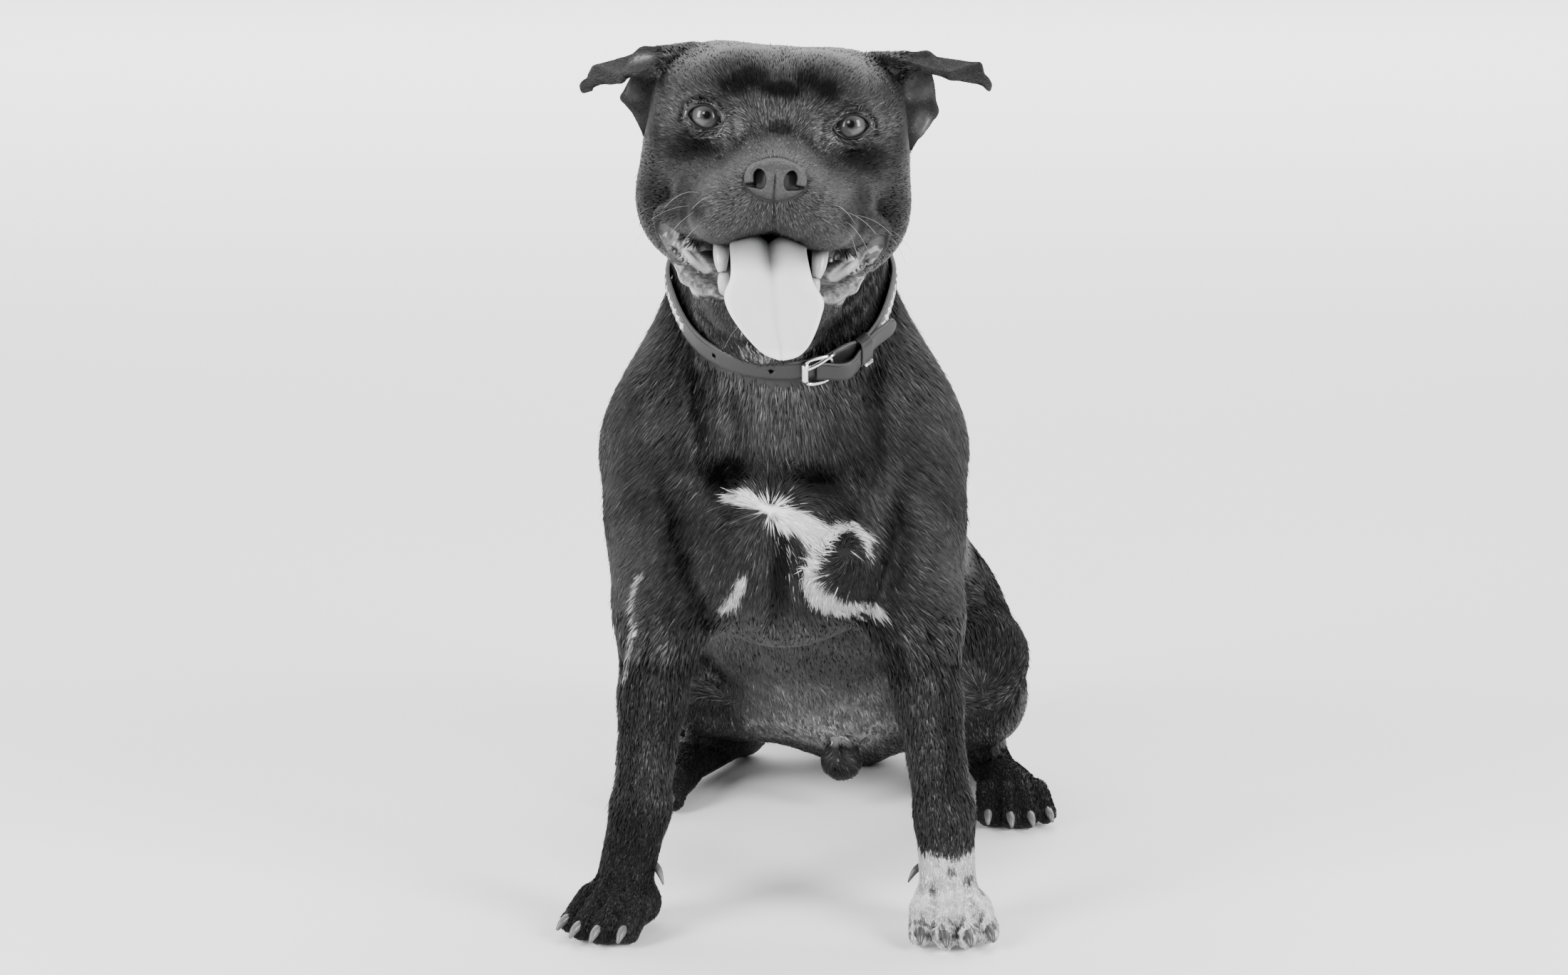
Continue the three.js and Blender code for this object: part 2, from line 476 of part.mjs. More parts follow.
// the head meets the neck along a plane from behind the ears down to just over the collar
const HEAD_CUT = [0, -100, 428], HEAD_SLANT = 43.4;
const forward = [0, -Math.cos(rad(HEAD_SLANT)), Math.sin(rad(HEAD_SLANT))];
const headBlock = (g) => block(add(HEAD_CUT, mul(forward, 160)), [320, 320, 420], [-HEAD_SLANT, 0, 0], g);
// the lower jaw parts from the head along a plane through the corners of the mouth
const jawBlock = (g) => block(fromHead([0, 4, -119.5]), [220, 230, 100], [21 - HEAD_NOD, HEAD_ROLL, 0], g);
const headNet = netSolid(flesh, [-130, -290, 320], [130, 60, 560], 'head').intersect(headBlock(0));
taken.push(headBlock(GAP));
const rest = [-160, -230, -26], end = [260, 330, 600];
const rump = (g) => block([40, 215, 90], [400, 200, 300], [-40, 0, REAR_YAW], g);
const loin = (g) => block([25, 90, 200], [400, 150, 420], [-40, 0, REAR_YAW / 2], g);
const throat = (g) => block(add(COLLAR.at, mul(COLLAR_UP, 150)), [400, 400, 300], [COLLAR.tilt, 0, 0], g);
const whole = netSolid(flesh, rest, end, 'trunk').intersect(floor);
for (const [name, shape] of [['rump', rump], ['loin', loin], ['neck', throat], ['chest', (g) => between([-300, -300, -50], [300, 350, 600], g)]]) {
  let s = whole.intersect(shape(0));
  for (const other of taken) s = s.subtract(other);
  taken.push(shape(GAP));
  pieces.push({ name, s, look: 'coat' });
}

// ---- tongue, teeth, eyes -----------------------------------------------------------------------------------------------
const TONGUE = [                                    // along its middle: place in the head's frame, half width, half thickness
  [[0, 12, -84], 14, 5], [[0, -8, -76.5], 17.5, 5.4], [[-0.6, -26, -70.5], 20, 5.2], [[-1.4, -40, -67.4], 20.5, 4.7],
  [[-1.4, -51, -69.6], 20.5, 4.3], [[0, -57, -77], 21, 3.9], [[1.6, -60, -86], 22.6, 3.5], [[3.2, -61, -95], 26, 3.2],
  [[4.2, -61.6, -104], 23.6, 3], [[6.6, -61.8, -114], 18, 2.8], [[8.6, -61.4, -122], 11, 2.4], [[9.2, -61, -127], 3.4, 1.6],
];
function tongue(grow) {
  return solid(loft(TONGUE.map(([c, a, b], i) => {
    const along = unit(sub(TONGUE[Math.min(i + 1, TONGUE.length - 1)][0], TONGUE[Math.max(i - 1, 0)][0]));
    const u = unit(cross(along, cross([1, 0, 0], along))), w = cross(along, u);
    return ring(c, u, w, a + grow, b + grow, 14).map(fromHead);
  })));
}
const tooth = (from, to, r) => {
  const along = unit(sub(to, from)), u = unit(cross(along, [0.3, 1, 0])), w = cross(along, u);
  return solid(loft([[0, 1], [0.6, 0.75], [1, 0.15]].map(([t, k]) => ring(mix(from, to, t), u, w, r * k, r * k, 5).map(fromHead))));
};
let head = headNet, jaw = headNet;
for (const s of [-1, 1]) {
  head = head.add(tooth([s * 24.5, -44, -58], [s * 27, -49, -86], 4.6));
  jaw = jaw.add(tooth([s * 19, -38, -106], [s * 21, -42, -87.5], 4.2));
}
head = head.subtract(jawBlock(GAP));
jaw = jaw.intersect(jawBlock(0));
const eyeAt = (s) => fromHead([s * EYE_AT[0], EYE_AT[1], EYE_AT[2]]);
const ball = (s, r) => solid(new THREE.SphereGeometry(r, 14, 9), new THREE.Matrix4().makeRotationX(Math.PI / 2).setPosition(...eyeAt(s)));
for (const s of [-1, 1]) head = head.subtract(ball(s, EYE_R + GAP));
jaw = jaw.subtract(tongue(GAP));
head = head.subtract(tongue(GAP));

// ---- collar and its room in the flesh ----------------------------------------------------------------------------
const { wide, thick, sink } = COLLAR, edge = wide / 2, top = thick - sink;
const room = band(0, 360, -sink - 2 * GAP, 9, -edge - 0.6, edge + 0.6, 40)
  .add(band(28, 39, -0.6, 12, -edge - 2.6, edge + 2.6, 3)).add(band(6, 22, -0.6, 12, -edge - 4, edge + 4, 4));
const free = top + 0.3;                             // the free end lies on the strap from the buckle to past the keeper
const strap = band(0, 360, -sink, top, -edge, edge, 40).add(band(20, 60, top - 0.2, free + 2.2, -edge + 0.5, edge - 0.5, 8));
const frame = band(8, 19, top + GAP, top + 2.3, -edge - 3, edge + 3, 3).subtract(band(9.6, 17.4, 0, 9, -edge - 1, edge + 1, 3));
const prong = band(7, 18.6, top + 2.3 + GAP, top + 3.9, -1.1, 1.1, 3);
const keeper = band(30, 37, free + 2.2 + GAP, free + 4, -edge - 2, edge + 2, 2)
  .add(band(30, 37, 0, free + 3, -edge - 2, -edge - 0.5, 2)).add(band(30, 37, 0, free + 3, edge + 0.5, edge + 2, 2));

place('head', head.subtract(room), 'coat');
place('lower_jaw', jaw.subtract(room), 'coat');
place('tongue', tongue(0), 'tongue');
for (const p of pieces) place(p.name, p.s.subtract(room), p.look);
place('eye_right', ball(-1, EYE_R), 'eye');
place('eye_left', ball(1, EYE_R), 'eye');
const noseAt = fromHead([0, -66, -30]);
place('nose', netSolid(noseFlesh, add(noseAt, [-28, -26, -24]), add(noseAt, [28, 26, 24]), 'nose'), 'nose');
for (const side of ['left', 'right']) {
  const c = fromHead([side === 'left' ? 86 : -86, 44, 18 + EAR_LIFT[side] * 0.6]);
  place(`ear_${side}`, netSolid(earFlesh(side), add(c, [-48, -38, -44]), add(c, [48, 38, 44]), 'ear'), 'coat');
}
place('collar_strap', strap, 'strap');
place('collar_buckle', frame, 'metal');
place('collar_prong', prong, 'metal');
place('collar_keeper', keeper, 'strap');

// ---- claws: each grows from a toe's end and curves down --------------------------------------------------------------
function claw(root, ahead, long, drop, r, room) {
  const rings = [[0, 0, 1], [0.55, 0.25, 0.8], [1, 1, 0.2]].map(([t, f, k]) => {
    const c = add(root, add(mul(ahead, t * long), [0, 0, -f * drop]));
    return ring(c, unit(cross(ahead, [0, 0, 1])), [0, 0, 1], r * k * 0.8, r * k, 6);
  });
  return solid(loft(rings)).subtract(room);
}
for (const [name, paws, pieceOf] of [['fore', FOREPAW, 'forepaw_'], ['hind', HINDPAW, 'hind_paw_']]) {
  for (const side of ['left', 'right']) {
    const w = paws[side], s = side === 'left' ? 1 : -1, c = add(w.at, mul(w.ahead, 18));
    const near = netSolid((p) => flesh(p) - 5 * GAP, add(c, [-60, -62, -10 - c[2]]), add(c, [60, 62, 66 - c[2]]), 'paw');
    toes(w.at, w).forEach((t, i) => {
      const out = unit(add(w.ahead, mul(w.across, (i - 1.5) * 0.12)));
      place(`${name}_claw_${side}_${s * (i - 1.5) < 0 ? 'inner' : 'outer'}_${Math.abs(i - 1.5) > 1 ? 'b' : 'a'}`,
        claw(add(t.tip, add(mul(out, 1), [0, 0, 3.5])), out, 15, 7, 4, near), 'claw');
    });
    if (name === 'fore') {
      const inward = mul(w.across, -s), root = add(w.at, add(mul(inward, 12), [0, 0, 37]));
      place(`dewclaw_${side}`, claw(root, unit(add(mul(inward, 0.8), mul(w.ahead, 0.5))), 13, 9, 3.4, near), 'claw');
    }
  }
}

export default dog;
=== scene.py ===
"""A sitting, short-coated black dog with a white chest mark and one white forefoot, in a collar.

One skin is cast over the frame's flesh solids and drawn on to a smooth form of joints and muscles.
Tufts of coat grow from it. The form is worked out in millimetres, in the frame's own directions,
and SHIFT moves it into place.
"""
import json
import math

import bpy
import numpy as np
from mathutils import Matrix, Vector
from mathutils.bvhtree import BVHTree


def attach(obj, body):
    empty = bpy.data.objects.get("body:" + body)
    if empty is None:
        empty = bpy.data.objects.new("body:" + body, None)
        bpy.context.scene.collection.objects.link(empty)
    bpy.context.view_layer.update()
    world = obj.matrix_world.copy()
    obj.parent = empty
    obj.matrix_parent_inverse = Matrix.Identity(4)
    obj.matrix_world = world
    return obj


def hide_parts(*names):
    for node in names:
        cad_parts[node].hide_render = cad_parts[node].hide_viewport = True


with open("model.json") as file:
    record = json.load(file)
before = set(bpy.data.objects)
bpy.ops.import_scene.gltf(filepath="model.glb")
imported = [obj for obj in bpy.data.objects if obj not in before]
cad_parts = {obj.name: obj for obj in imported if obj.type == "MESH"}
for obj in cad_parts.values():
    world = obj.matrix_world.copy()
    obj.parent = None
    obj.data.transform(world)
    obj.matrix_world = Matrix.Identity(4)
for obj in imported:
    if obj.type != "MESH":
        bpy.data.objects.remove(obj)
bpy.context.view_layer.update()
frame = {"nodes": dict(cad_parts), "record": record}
MM = 0.001
SHIFT = np.array((-21.8, -19.2, 0.0))      # from the form's origin to the frame's, in millimetres
SLOT_OF = {part["node"]: part["material_slot"] for part in frame["record"]["subparts"]}
CHANCE = np.random.default_rng(7)          # the one source of every random draw

# ---- finishes ----------------------------------------------------------------------------------
class Level:
    """A number that varies over a surface. Sums of levels add the nodes that work them out."""
    def __init__(self, finish, socket):
        self.finish, self.socket = finish, socket

    def maths(self, operation, *values):
        made = self.finish.node("ShaderNodeMath", {"operation": operation}, dict(enumerate(values)))
        return made.level(0)

    def __add__(self, other):
        return self.maths("ADD", self, other)

    def __sub__(self, other):
        return self.maths("SUBTRACT", self, other)

    def __rsub__(self, other):
        return self.maths("SUBTRACT", other, self)

    def __mul__(self, other):
        return self.maths("MULTIPLY", self, other)

    def __abs__(self):
        return self.maths("ABSOLUTE", self)

    __radd__, __rmul__ = __add__, __mul__

    def step(self, low, high):
        """0 at low, 1 at high, soft between."""
        settings = {"interpolation_type": "SMOOTHSTEP"}
        return self.finish.node("ShaderNodeMapRange", settings, {0: self, 1: low, 2: high}).level(0)

class Made:
    """A node, and ways to take its outputs."""
    def __init__(self, finish, node):
        self.finish, self.node = finish, node

    def level(self, output):
        return Level(self.finish, self.node.outputs[output])

class Finish:
    """A material, made of one Principled surface and the nodes that feed it."""
    def __init__(self, name, **fixed):
        self.material = bpy.data.materials.new(name)
        self.material.use_nodes = True
        self.tree = self.material.node_tree
        self.surface = self.tree.nodes["Principled BSDF"]
        self.place = self.tree.nodes.new("ShaderNodeTexCoord").outputs["Object"]
        for socket, value in fixed.items():
            self.surface.inputs[socket.replace("_", " ")].default_value = value

    def feed(self, socket, value):
        if isinstance(value, Level):
            value = value.socket
        if isinstance(value, bpy.types.NodeSocket):
            self.tree.links.new(value, socket)
        else:
            socket.default_value = value

    def node(self, kind, settings=None, sockets=None):
        """Any other node: its settings first, then the values or links of its sockets."""
        node = self.tree.nodes.new(kind)
        for key, value in (settings or {}).items():
            if key == "stops":
                ramp = node.color_ramp.elements
                for stop, (at, grey) in zip(ramp, (value[0], value[-1])):
                    stop.position, stop.color = at, (grey, grey, grey, 1)
                for at, grey in value[1:-1]:
                    ramp.new(at).color = (grey, grey, grey, 1)
            else:
                setattr(node, key, value)
        for key, value in (sockets or {}).items():
            self.feed(node.inputs[key], value)
        return Made(self, node)

    def noise(self, size, detail=3.0, stretch=(1, 1, 1)):
        """Soft speckle about size millimetres across."""
        place = self.place
        if stretch != (1, 1, 1):
            sockets = {"Vector": place, "Scale": stretch}
            place = self.node("ShaderNodeMapping", {}, sockets).node.outputs[0]
        sockets = {"Vector": place, "Scale": 1 / (size * MM), "Detail": detail}
        return self.node("ShaderNodeTexNoise", {}, sockets).level(0)

    def cells(self, size, output="Distance"):
        sockets = {"Vector": self.place, "Scale": 1 / (size * MM)}
        return self.node("ShaderNodeTexVoronoi", {}, sockets).level(output)

    def noted(self, name):
        """A number stored on the piece's points."""
        return self.node("ShaderNodeAttribute", {"attribute_name": name}).level("Fac")

    def tone(self, amount):
        """The surface's grey, from 0 for black to 1 for white."""
        greys = {0: amount, 6: (0, 0, 0, 1), 7: (1, 1, 1, 1)}
        made = self.node("ShaderNodeMix", {"data_type": "RGBA"}, greys)
        self.feed(self.surface.inputs["Base Color"], made.node.outputs[2])

    def rough(self, amount):
        self.feed(self.surface.inputs["Roughness"], amount)

    def relief(self, height, deep, strength=1.0):
        """Bump, deep in millimetres."""
        sockets = {"Height": height, "Distance": deep * MM, "Strength": strength}
        made = self.node("ShaderNodeBump", {}, sockets)
        self.feed(self.surface.inputs["Normal"], made.node.outputs[0])

def coat_finish():
    """Short glossy hair in the tone noted on the piece, rougher where it is white."""
    finish = Finish("coat", Specular_IOR_Level=0.16)
    # the noted tone holds painted sheen and painted shade as well as the hair's own colour
    finish.tone(finish.noted("tone") * (0.8 + 0.4 * finish.noise(9)))
    finish.rough(0.36 + 0.08 * finish.noise(5) + 0.3 * finish.noted("tone"))
    return finish.material

def skin_finish():
    """Skin under the coat, and the wet lining of the mouth."""
    finish = Finish("skin", Specular_IOR_Level=0.16, Coat_Roughness=0.2)
    wet = finish.noted("wet")
    mottle = (finish.noise(2.6, 4) * 0.7 + finish.noise(7) * 0.3).step(0.36, 0.66)
    finish.tone(finish.noted("tone") * (1 + finish.noted("mottled") * (mottle - 0.6)))
    finish.rough(0.5 - 0.2 * wet + 0.1 * finish.noise(1.6))
    finish.feed(finish.surface.inputs["Coat Weight"], 0.7 * wet)
    finish.relief(finish.noise(0.8, 4) + 0.7 * finish.noise(2.4), 0.3, 0.5)
    return finish.material

def nose_finish():
    """Moist leather of small round cobbles."""
    finish = Finish("nose_leather", Specular_IOR_Level=0.3)
    cobble = finish.cells(1.5)
    # painted shade: darker towards the cracks between the cobbles
    finish.tone((0.036 + 0.024 * finish.noise(4) - 0.016 * cobble) * finish.noted("tone"))
    finish.rough(0.4 + 0.25 * cobble)
    finish.relief(1 - cobble, 0.55, 0.9)
    return finish.material

def tongue_finish():
    finish = Finish("tongue", Specular_IOR_Level=0.5, Subsurface_Weight=0.12,
                    Subsurface_Scale=0.004)
    finish.tone(finish.noted("tone") * (0.96 + 0.08 * finish.noise(5)))
    finish.rough(0.3 + 0.22 * finish.noise(2.5))
    finish.relief(1 - finish.cells(0.55), 0.09, 0.5)
    return finish.material

def tooth_finish():
    finish = Finish("tooth", Specular_IOR_Level=0.55, Coat_Weight=0.5, Coat_Roughness=0.12)
    finish.tone((0.3 + 0.22 * finish.noise(4, 3, (1, 1, 0.3))) * finish.noted("tone"))
    finish.rough(0.3 + 0.15 * finish.noise(1.5))
    return finish.material

EYE_TONES = (   # turn from the line of sight in hundreds of degrees, and the tone there
    (0.0, 0.001), (0.088, 0.001), (0.108, 0.02), (0.17, 0.045), (0.3, 0.07), (0.41, 0.05),
    (0.46, 0.012), (0.5, 0.004), (0.55, 0.04), (0.62, 0.14), (1.0, 0.14))

def eye_finish():
    """Pupil, iris and white of the eye, by the turn from its line of sight that is noted on it."""
    finish = Finish("eye", Specular_IOR_Level=0.15, Coat_Weight=0.55, Coat_Roughness=0.02)
    streaks = finish.noise(0.8, 4) * 0.6 + finish.noise(2.4, 2) * 0.4
    ring = finish.node("ShaderNodeValToRGB", {"stops": EYE_TONES}, {0: finish.noted("turn") * 0.5})
    finish.tone(ring.level(0) * (0.6 + 0.8 * streaks))
    finish.rough(0.2 + 0.1 * streaks)
    return finish.material

def rim_finish():
    finish = Finish("lid_rim", Specular_IOR_Level=0.2)
    finish.tone(0.003 + 0.006 * finish.noise(1.2))
    finish.rough(0.3 + 0.12 * finish.noise(0.8))
    finish.relief(finish.noise(0.7, 3), 0.12, 0.6)
    return finish.material

def claw_finish(name, low, high):
    """Horn with lengthwise streaks."""
    finish = Finish(name, Specular_IOR_Level=0.5, Coat_Weight=0.3, Coat_Roughness=0.2)
    streak = finish.noise(1.6, 4, (1.6, 0.4, 1.2))
    finish.tone(low + (high - low) * streak)
    finish.rough(0.35 + 0.2 * streak)
    finish.relief(streak, 0.12, 0.6)
    return finish.material

def strap_finish():
    """Waxed leather: a creased line along each edge, raw fibre on the cut edge."""
    finish = Finish("strap_leather", Specular_IOR_Level=0.5)
    across = abs(finish.noted("across"))
    cut = across.step(0.93, 0.99)
    crease = across.step(0.74, 0.79) * (1 - across.step(0.8, 0.85))
    fibre, grain = finish.noise(0.8, 4), finish.noise(5, 5)
    finish.tone(0.005 + 0.01 * grain + cut * (0.02 + 0.09 * fibre) - 0.003 * crease)
    finish.rough(0.36 + 0.16 * grain + 0.3 * cut)
    finish.relief(0.35 * finish.noise(0.7, 3) + cut * fibre * 1.6 - crease * 0.9, 0.3, 0.7)
    return finish.material

def metal_finish():
    """Plated metal with fine wear."""
    finish = Finish("buckle_metal", Metallic=1.0)
    scratch = finish.noise(1.4, 5, (1, 1, 4))
    finish.tone(0.62 + 0.2 * scratch)
    finish.rough(0.14 + 0.22 * scratch)
    return finish.material

def whisker_finish():
    finish = Finish("whisker")
    finish.tone(0.12 + 0.3 * finish.noise(20))
    finish.rough(0.35 + 0.1 * finish.noise(2))
    return finish.material

# ---- form: one smooth distance field built on joints and muscles, in millimetres ---------------
HEAD_AT = np.array((-3.0, -185.0, 484.0))
HEAD_ROLL, HEAD_NOD = 3.6, 5.0
EYE_AT, EYE_R = np.array((40.5, 2.0, 0.0)), 11.2
EAR_LIFT, EAR_REACH = {-1: -7.0, 1: 8.0}, {-1: 2.0, 1: 8.0}
SPINE = [((0, -40, 279), 93), ((8, 24, 233), 96), ((21, 86, 180), 92), ((36, 143, 133), 86),
         ((49, 188, 92), 78)]
FORE = {   # -1 is the dog's right, 1 its left; headings in degrees outwards
    -1: dict(shoulder=(-69, -116, 240), elbow=(-73, -100, 186), wrist=(-86, -131, 70), heading=31),
    1: dict(shoulder=(71, -116, 240), elbow=(79, -100, 183), wrist=(96, -135, 68), heading=5)}
REAR_AT, REAR_YAW = (49.0, 185.0), -9.1
TAIL = [(50, 232, 46, 18), (52, 262, 24, 15), (28, 284, 12.5, 12.5), (-22, 292, 10, 10),
        (-72, 272, 8, 8), (-100, 238, 6, 5.5)]     # x, y, z and radius
MOUTH_ROOF = ((0, 0, -84), (52, 64, 21))
MOUTH_END = ((49, -7, -75), (61.5, 3.5, -65), 6.5, 4.8)
MOUTH_FOLD = ((47, -1, -76), (36, -13, -86))
SCROTUM_AT = (38.5, 92, 33)
TRUNK_WIDTH = 0.95                 # the trunk's width over its height

def vec(*a):
    return np.array(a, float)

def unit(a):
    return np.asarray(a, float) / np.linalg.norm(a)

def turn(axis, deg):
    """A rotation of column vectors about one axis."""
    c, s = np.cos(np.radians(deg)), np.sin(np.radians(deg))
    i, j = {"x": (1, 2), "y": (2, 0), "z": (0, 1)}[axis]
    m = np.eye(3)
    m[i, i] = m[j, j] = c
    m[i, j], m[j, i] = -s, s
    return m

HEAD_TURN = turn("y", HEAD_ROLL) @ turn("x", -HEAD_NOD)
COLLAR_AT, COLLAR_TILT = vec(-1, -70, 378), math.radians(25)
COLLAR_UP = vec(0, -math.sin(COLLAR_TILT), math.cos(COLLAR_TILT))
COLLAR_BACK = vec(0, math.cos(COLLAR_TILT), math.sin(COLLAR_TILT))
STRAP_WIDE, STRAP_THICK, STRAP_SUNK = 12.0, 3.0, 0.6

def to_head(p):
    """Places in the head's own directions, from the point between its eyes."""
    return (p - HEAD_AT) @ HEAD_TURN

def from_head(q):
    return np.asarray(q, float) @ HEAD_TURN.T + HEAD_AT

def halved(q):
    """Places folded on to the head's left half."""
    return np.stack((np.abs(q[:, 0]), q[:, 1], q[:, 2]), 1)

def rear(x, y, z=0.0):
    """A place given from the middle of the rump, in its own directions."""
    u = turn("z", REAR_YAW) @ vec(x, y, 0)
    return vec(REAR_AT[0] + u[0], REAR_AT[1] + u[1], z)

def cone(p, a, b, ra, rb):
    """Distance to a tapering limb with round ends."""
    a, b = np.asarray(a, float), np.asarray(b, float)
    h = np.clip((p - a) @ (b - a) / ((b - a) @ (b - a)), 0, 1)
    return np.linalg.norm(p - a - h[:, None] * (b - a), axis=1) - (ra + h * (rb - ra))

def egg(p, c, r):
    """Distance to an ellipsoid, near enough close to its surface."""
    q, r = p - np.asarray(c, float), np.asarray(r, float)
    k0 = np.linalg.norm(q / r, axis=1)
    return k0 * (k0 - 1) / (np.linalg.norm(q / r ** 2, axis=1) + 1e-9)

def plate(p, a, b, c, r):
    """Distance to a thin plate with round edges over a triangle."""
    v = [np.asarray(x, float) for x in (a, b, c)]
    e, q = [v[1] - v[0], v[2] - v[1], v[0] - v[2]], [p - x for x in v]
    n = np.cross(e[0], e[2])
    side, edge = 0, np.inf
    for i in range(3):
        side = side + np.sign(q[i] @ np.cross(e[i], n))
        d = e[i] * np.clip(q[i] @ e[i] / (e[i] @ e[i]), 0, 1)[:, None] - q[i]
        edge = np.minimum(edge, (d * d).sum(1))
    return np.sqrt(np.where(side < 2, edge, (q[0] @ n) ** 2 / (n @ n))) - r

def join(a, b, k):
    """The union of two shapes with a fillet of about k."""
    if a is None:
        return b
    h = np.clip(0.5 + 0.5 * (b - a) / k, 0, 1)
    return b + (a - b) * h - k * h * (1 - h)

def carve(a, b, k):
    """The first shape less the second."""
    return -join(-a, b, k)

def skull(q):
    d = egg(q, (0, 42, 4), (58, 62, 40))
    d = join(d, egg(q, (34, 52, 8), (40, 54, 37)), 10)
    d = join(d, egg(q, (24, 10, 16), (25, 26, 22)), 14)
    d = join(d, egg(q, (50, 36, -14), (25, 36, 24)), 14)
    d = join(d, egg(q, (53, 54, -43), (27, 36, 38)), 14)
    d = join(d, cone(q, (0, -8, -24), (0, -56, -34), 24, 17), 14)
    d = join(d, egg(q, (0, -27, -40), (39, 39, 24)), 12)
    return join(d, egg(q, (31, 8, -37), (27, 34, 25)), 14)

def lips(q):
    d = egg(q, (26, -29, -53), (21, 35, 17))
    d = join(d, egg(q, (10, -56, -45), (15, 13, 14)), 12)
    return join(d, cone(q, (42, -14, -55), (61, 14, -57), 12, 7), 10)

def nose_pad(q):
    d = join(egg(q, (0, -66, -30), (15, 11, 10.5)), egg(q, (9.5, -69, -31), (7.2, 8.5, 7.6)), 4)
    return join(d, egg(q, (0, -65.5, -36), (11.5, 9.3, 7.5)), 4)

def lower_jaw(q):
    d = cone(q, (46, 42, -66), (20, -26, -104), 19, 13)
    d = join(d, cone(q, (-1, -30, -108), (12, -30, -108), 12, 12), 10)
    d = join(d, egg(q, (0, 10, -104), (40, 42, 16)), 12)
    d = join(d, cone(q, (0, 4, -106), (0, 66, -112), 24, 44), 20)
    rim = [((61, 12, -66), 4.5), ((45, -12, -88), 5.5), ((26, -36, -99), 6), ((0, -43, -101), 6)]
    lip = None
    for (a, ra), (b, rb) in zip(rim, rim[1:]):
        lip = join(lip, cone(q, a, b, ra, rb), 4)
    return join(d, lip, 7)

def muzzle(q):
    d = carve(skull(q), egg(q, *MOUTH_ROOF), 5)
    return join(join(d, lips(q), 10), lower_jaw(q), 8)

def ear(q, s):
    """A folded ear: the flap's plates forward of its fold, then the ones that stand behind."""
    def at(x, y, z, w=0.0):
        return vec(s * (x + EAR_REACH[s] * w), y, z + EAR_LIFT[s] * w)
    front, top, edge = at(52, 42, 39, .1), at(78, 54, 38, .5), at(88, 31, 25, .9)
    far, tip = at(104, 44, 31, 1), at(113.5, 32, 16, 1)
    lobe, low, base = at(88, 58, 10, .2), at(76, 52, -8), at(62, 62, 26)
    d = plate(q, front, top, edge, 3.2)
    d = join(d, plate(q, top, far, edge, 3.2), 3)
    d = join(d, plate(q, far, tip, edge, 3), 3)
    d = join(d, plate(q, front, top, base, 4), 5)
    d = join(d, plate(q, top, lobe, base, 3.4), 5)
    return join(d, plate(q, base, lobe, low, 3.6), 5)

def neck(p):
    d = cone(p, (-4, -106, 452), (-1, -34, 340), 58, 71)
    return join(d, cone(p, (-2, -112, 400), (0, -92, 320), 50, 58), 20)

def trunk(p):
    f, d = vec(1 / TRUNK_WIDTH, 1, 1), None
    for (a, ra), (b, rb) in zip(SPINE, SPINE[1:]):
        d = join(d, TRUNK_WIDTH * cone(p * f, a * f, b * f, ra, rb), 45)
    d = join(d, egg(p, (0, -81, 244), (76, 73, 87)), 25)
    for s in (-1, 1):
        d = join(d, egg(p, (s * 66, -70, 272), (40, 60, 68)), 30)
        d = join(d, cone(p, (s * 20, -24, 332), (s * 62, -80, 278), 38, 42), 30)
    d = join(d, cone(p, (49, 200, 62), (50, 210, 39), 60, 42), 25)
    pouch = egg(p, SCROTUM_AT, (15, 15, 13.5))
    return join(d, join(cone(p, (40, 112, 62), (39, 98, 42), 12, 11), pouch, 6), 6)

def fore_leg(p, s):
    sh, el, wr = (vec(*FORE[s][k]) for k in ("shoulder", "elbow", "wrist"))
    mid = wr * 0.45 + el * 0.55
    d = cone(p, sh, el, 38, 30)
    d = join(d, cone(p, el + (0, 24, 4), el + (0, 0, -20), 20, 18), 16)
    d = join(d, cone(p, el, mid, 28, 20.5), 12)
    return join(d, cone(p, mid, wr, 20.5, 18), 10)

def heading(s, deg):
    """Ahead and across of a foot that is turned outwards."""
    t = np.radians(deg) * s
    return vec(np.sin(t), -np.cos(t), 0), vec(np.cos(t), np.sin(t), 0)

def toes(at, ahead, across):
    """Knuckle and tip of each of the four toes."""
    for i in (-1.5, -0.5, 0.5, 1.5):
        inner = 1 - abs(i) / 1.5
        yield (at + ahead * (26 + 7 * inner) + across * i * 10.6 + (0, 0, 19),
               at + ahead * (41 + 11 * inner) + across * i * 12.9 + (0, 0, 8))

def paw(p, at, ahead, across):
    q = p - (at + ahead * 14 + (0, 0, 15))
    d = egg(np.stack((q @ across, q @ ahead, q[:, 2]), 1), (0, 0, 0), (22, 24, 17))
    for knuckle, tip in toes(at, ahead, across):
        d = join(d, cone(p, knuckle, tip, 9.5, 8.2), 4)
    return d

FOREPAW, HINDPAW = {}, {}
for s in (-1, 1):
    ahead, across = heading(s, FORE[s]["heading"])
    FOREPAW[s] = (vec(*FORE[s]["wrist"][:2], 0) + ahead * 4, ahead, across)
    u = unit(rear(s * 112, -72) - rear(s * 84, 22))
    ahead, across = heading(s, np.degrees(np.arctan2(u[0] * s, -u[1])))
    HINDPAW[s] = (rear(s * 112, -72) + ahead * 2, ahead, across)

def fore_paw(p, s):
    at, ahead, _ = FOREPAW[s]
    pastern = cone(p, FORE[s]["wrist"], at + ahead * 17 + (0, 0, 23), 18, 17)
    return join(pastern, paw(p, *FOREPAW[s]), 8)

def hind_leg(p, s):
    hip, knee = rear(s * 46, -6, 118), rear(s * 93, -98, 110)
    hock, foot = rear(s * 84, 22, 19), rear(s * 110, -72, 18)
    d = cone(p, hip, knee, 55, 35)
    d = join(d, cone(p, rear(s * 52, 0, 70), rear(s * 92, -60, 72), 50, 34), 20)
    d = join(d, egg(p, rear(s * 66, -30, 102), (37, 80, 60)), 26)
    d = join(d, cone(p, knee, hock, 32, 18), 16)
    return join(d, cone(p, hock, foot, 17, 15), 10)

def hind_paw(p, s):
    at, ahead, _ = HINDPAW[s]
    a = at + (0, 0, 18)
    return join(cone(p, a, a + ahead * 12, 15, 15), paw(p, *HINDPAW[s]), 8)

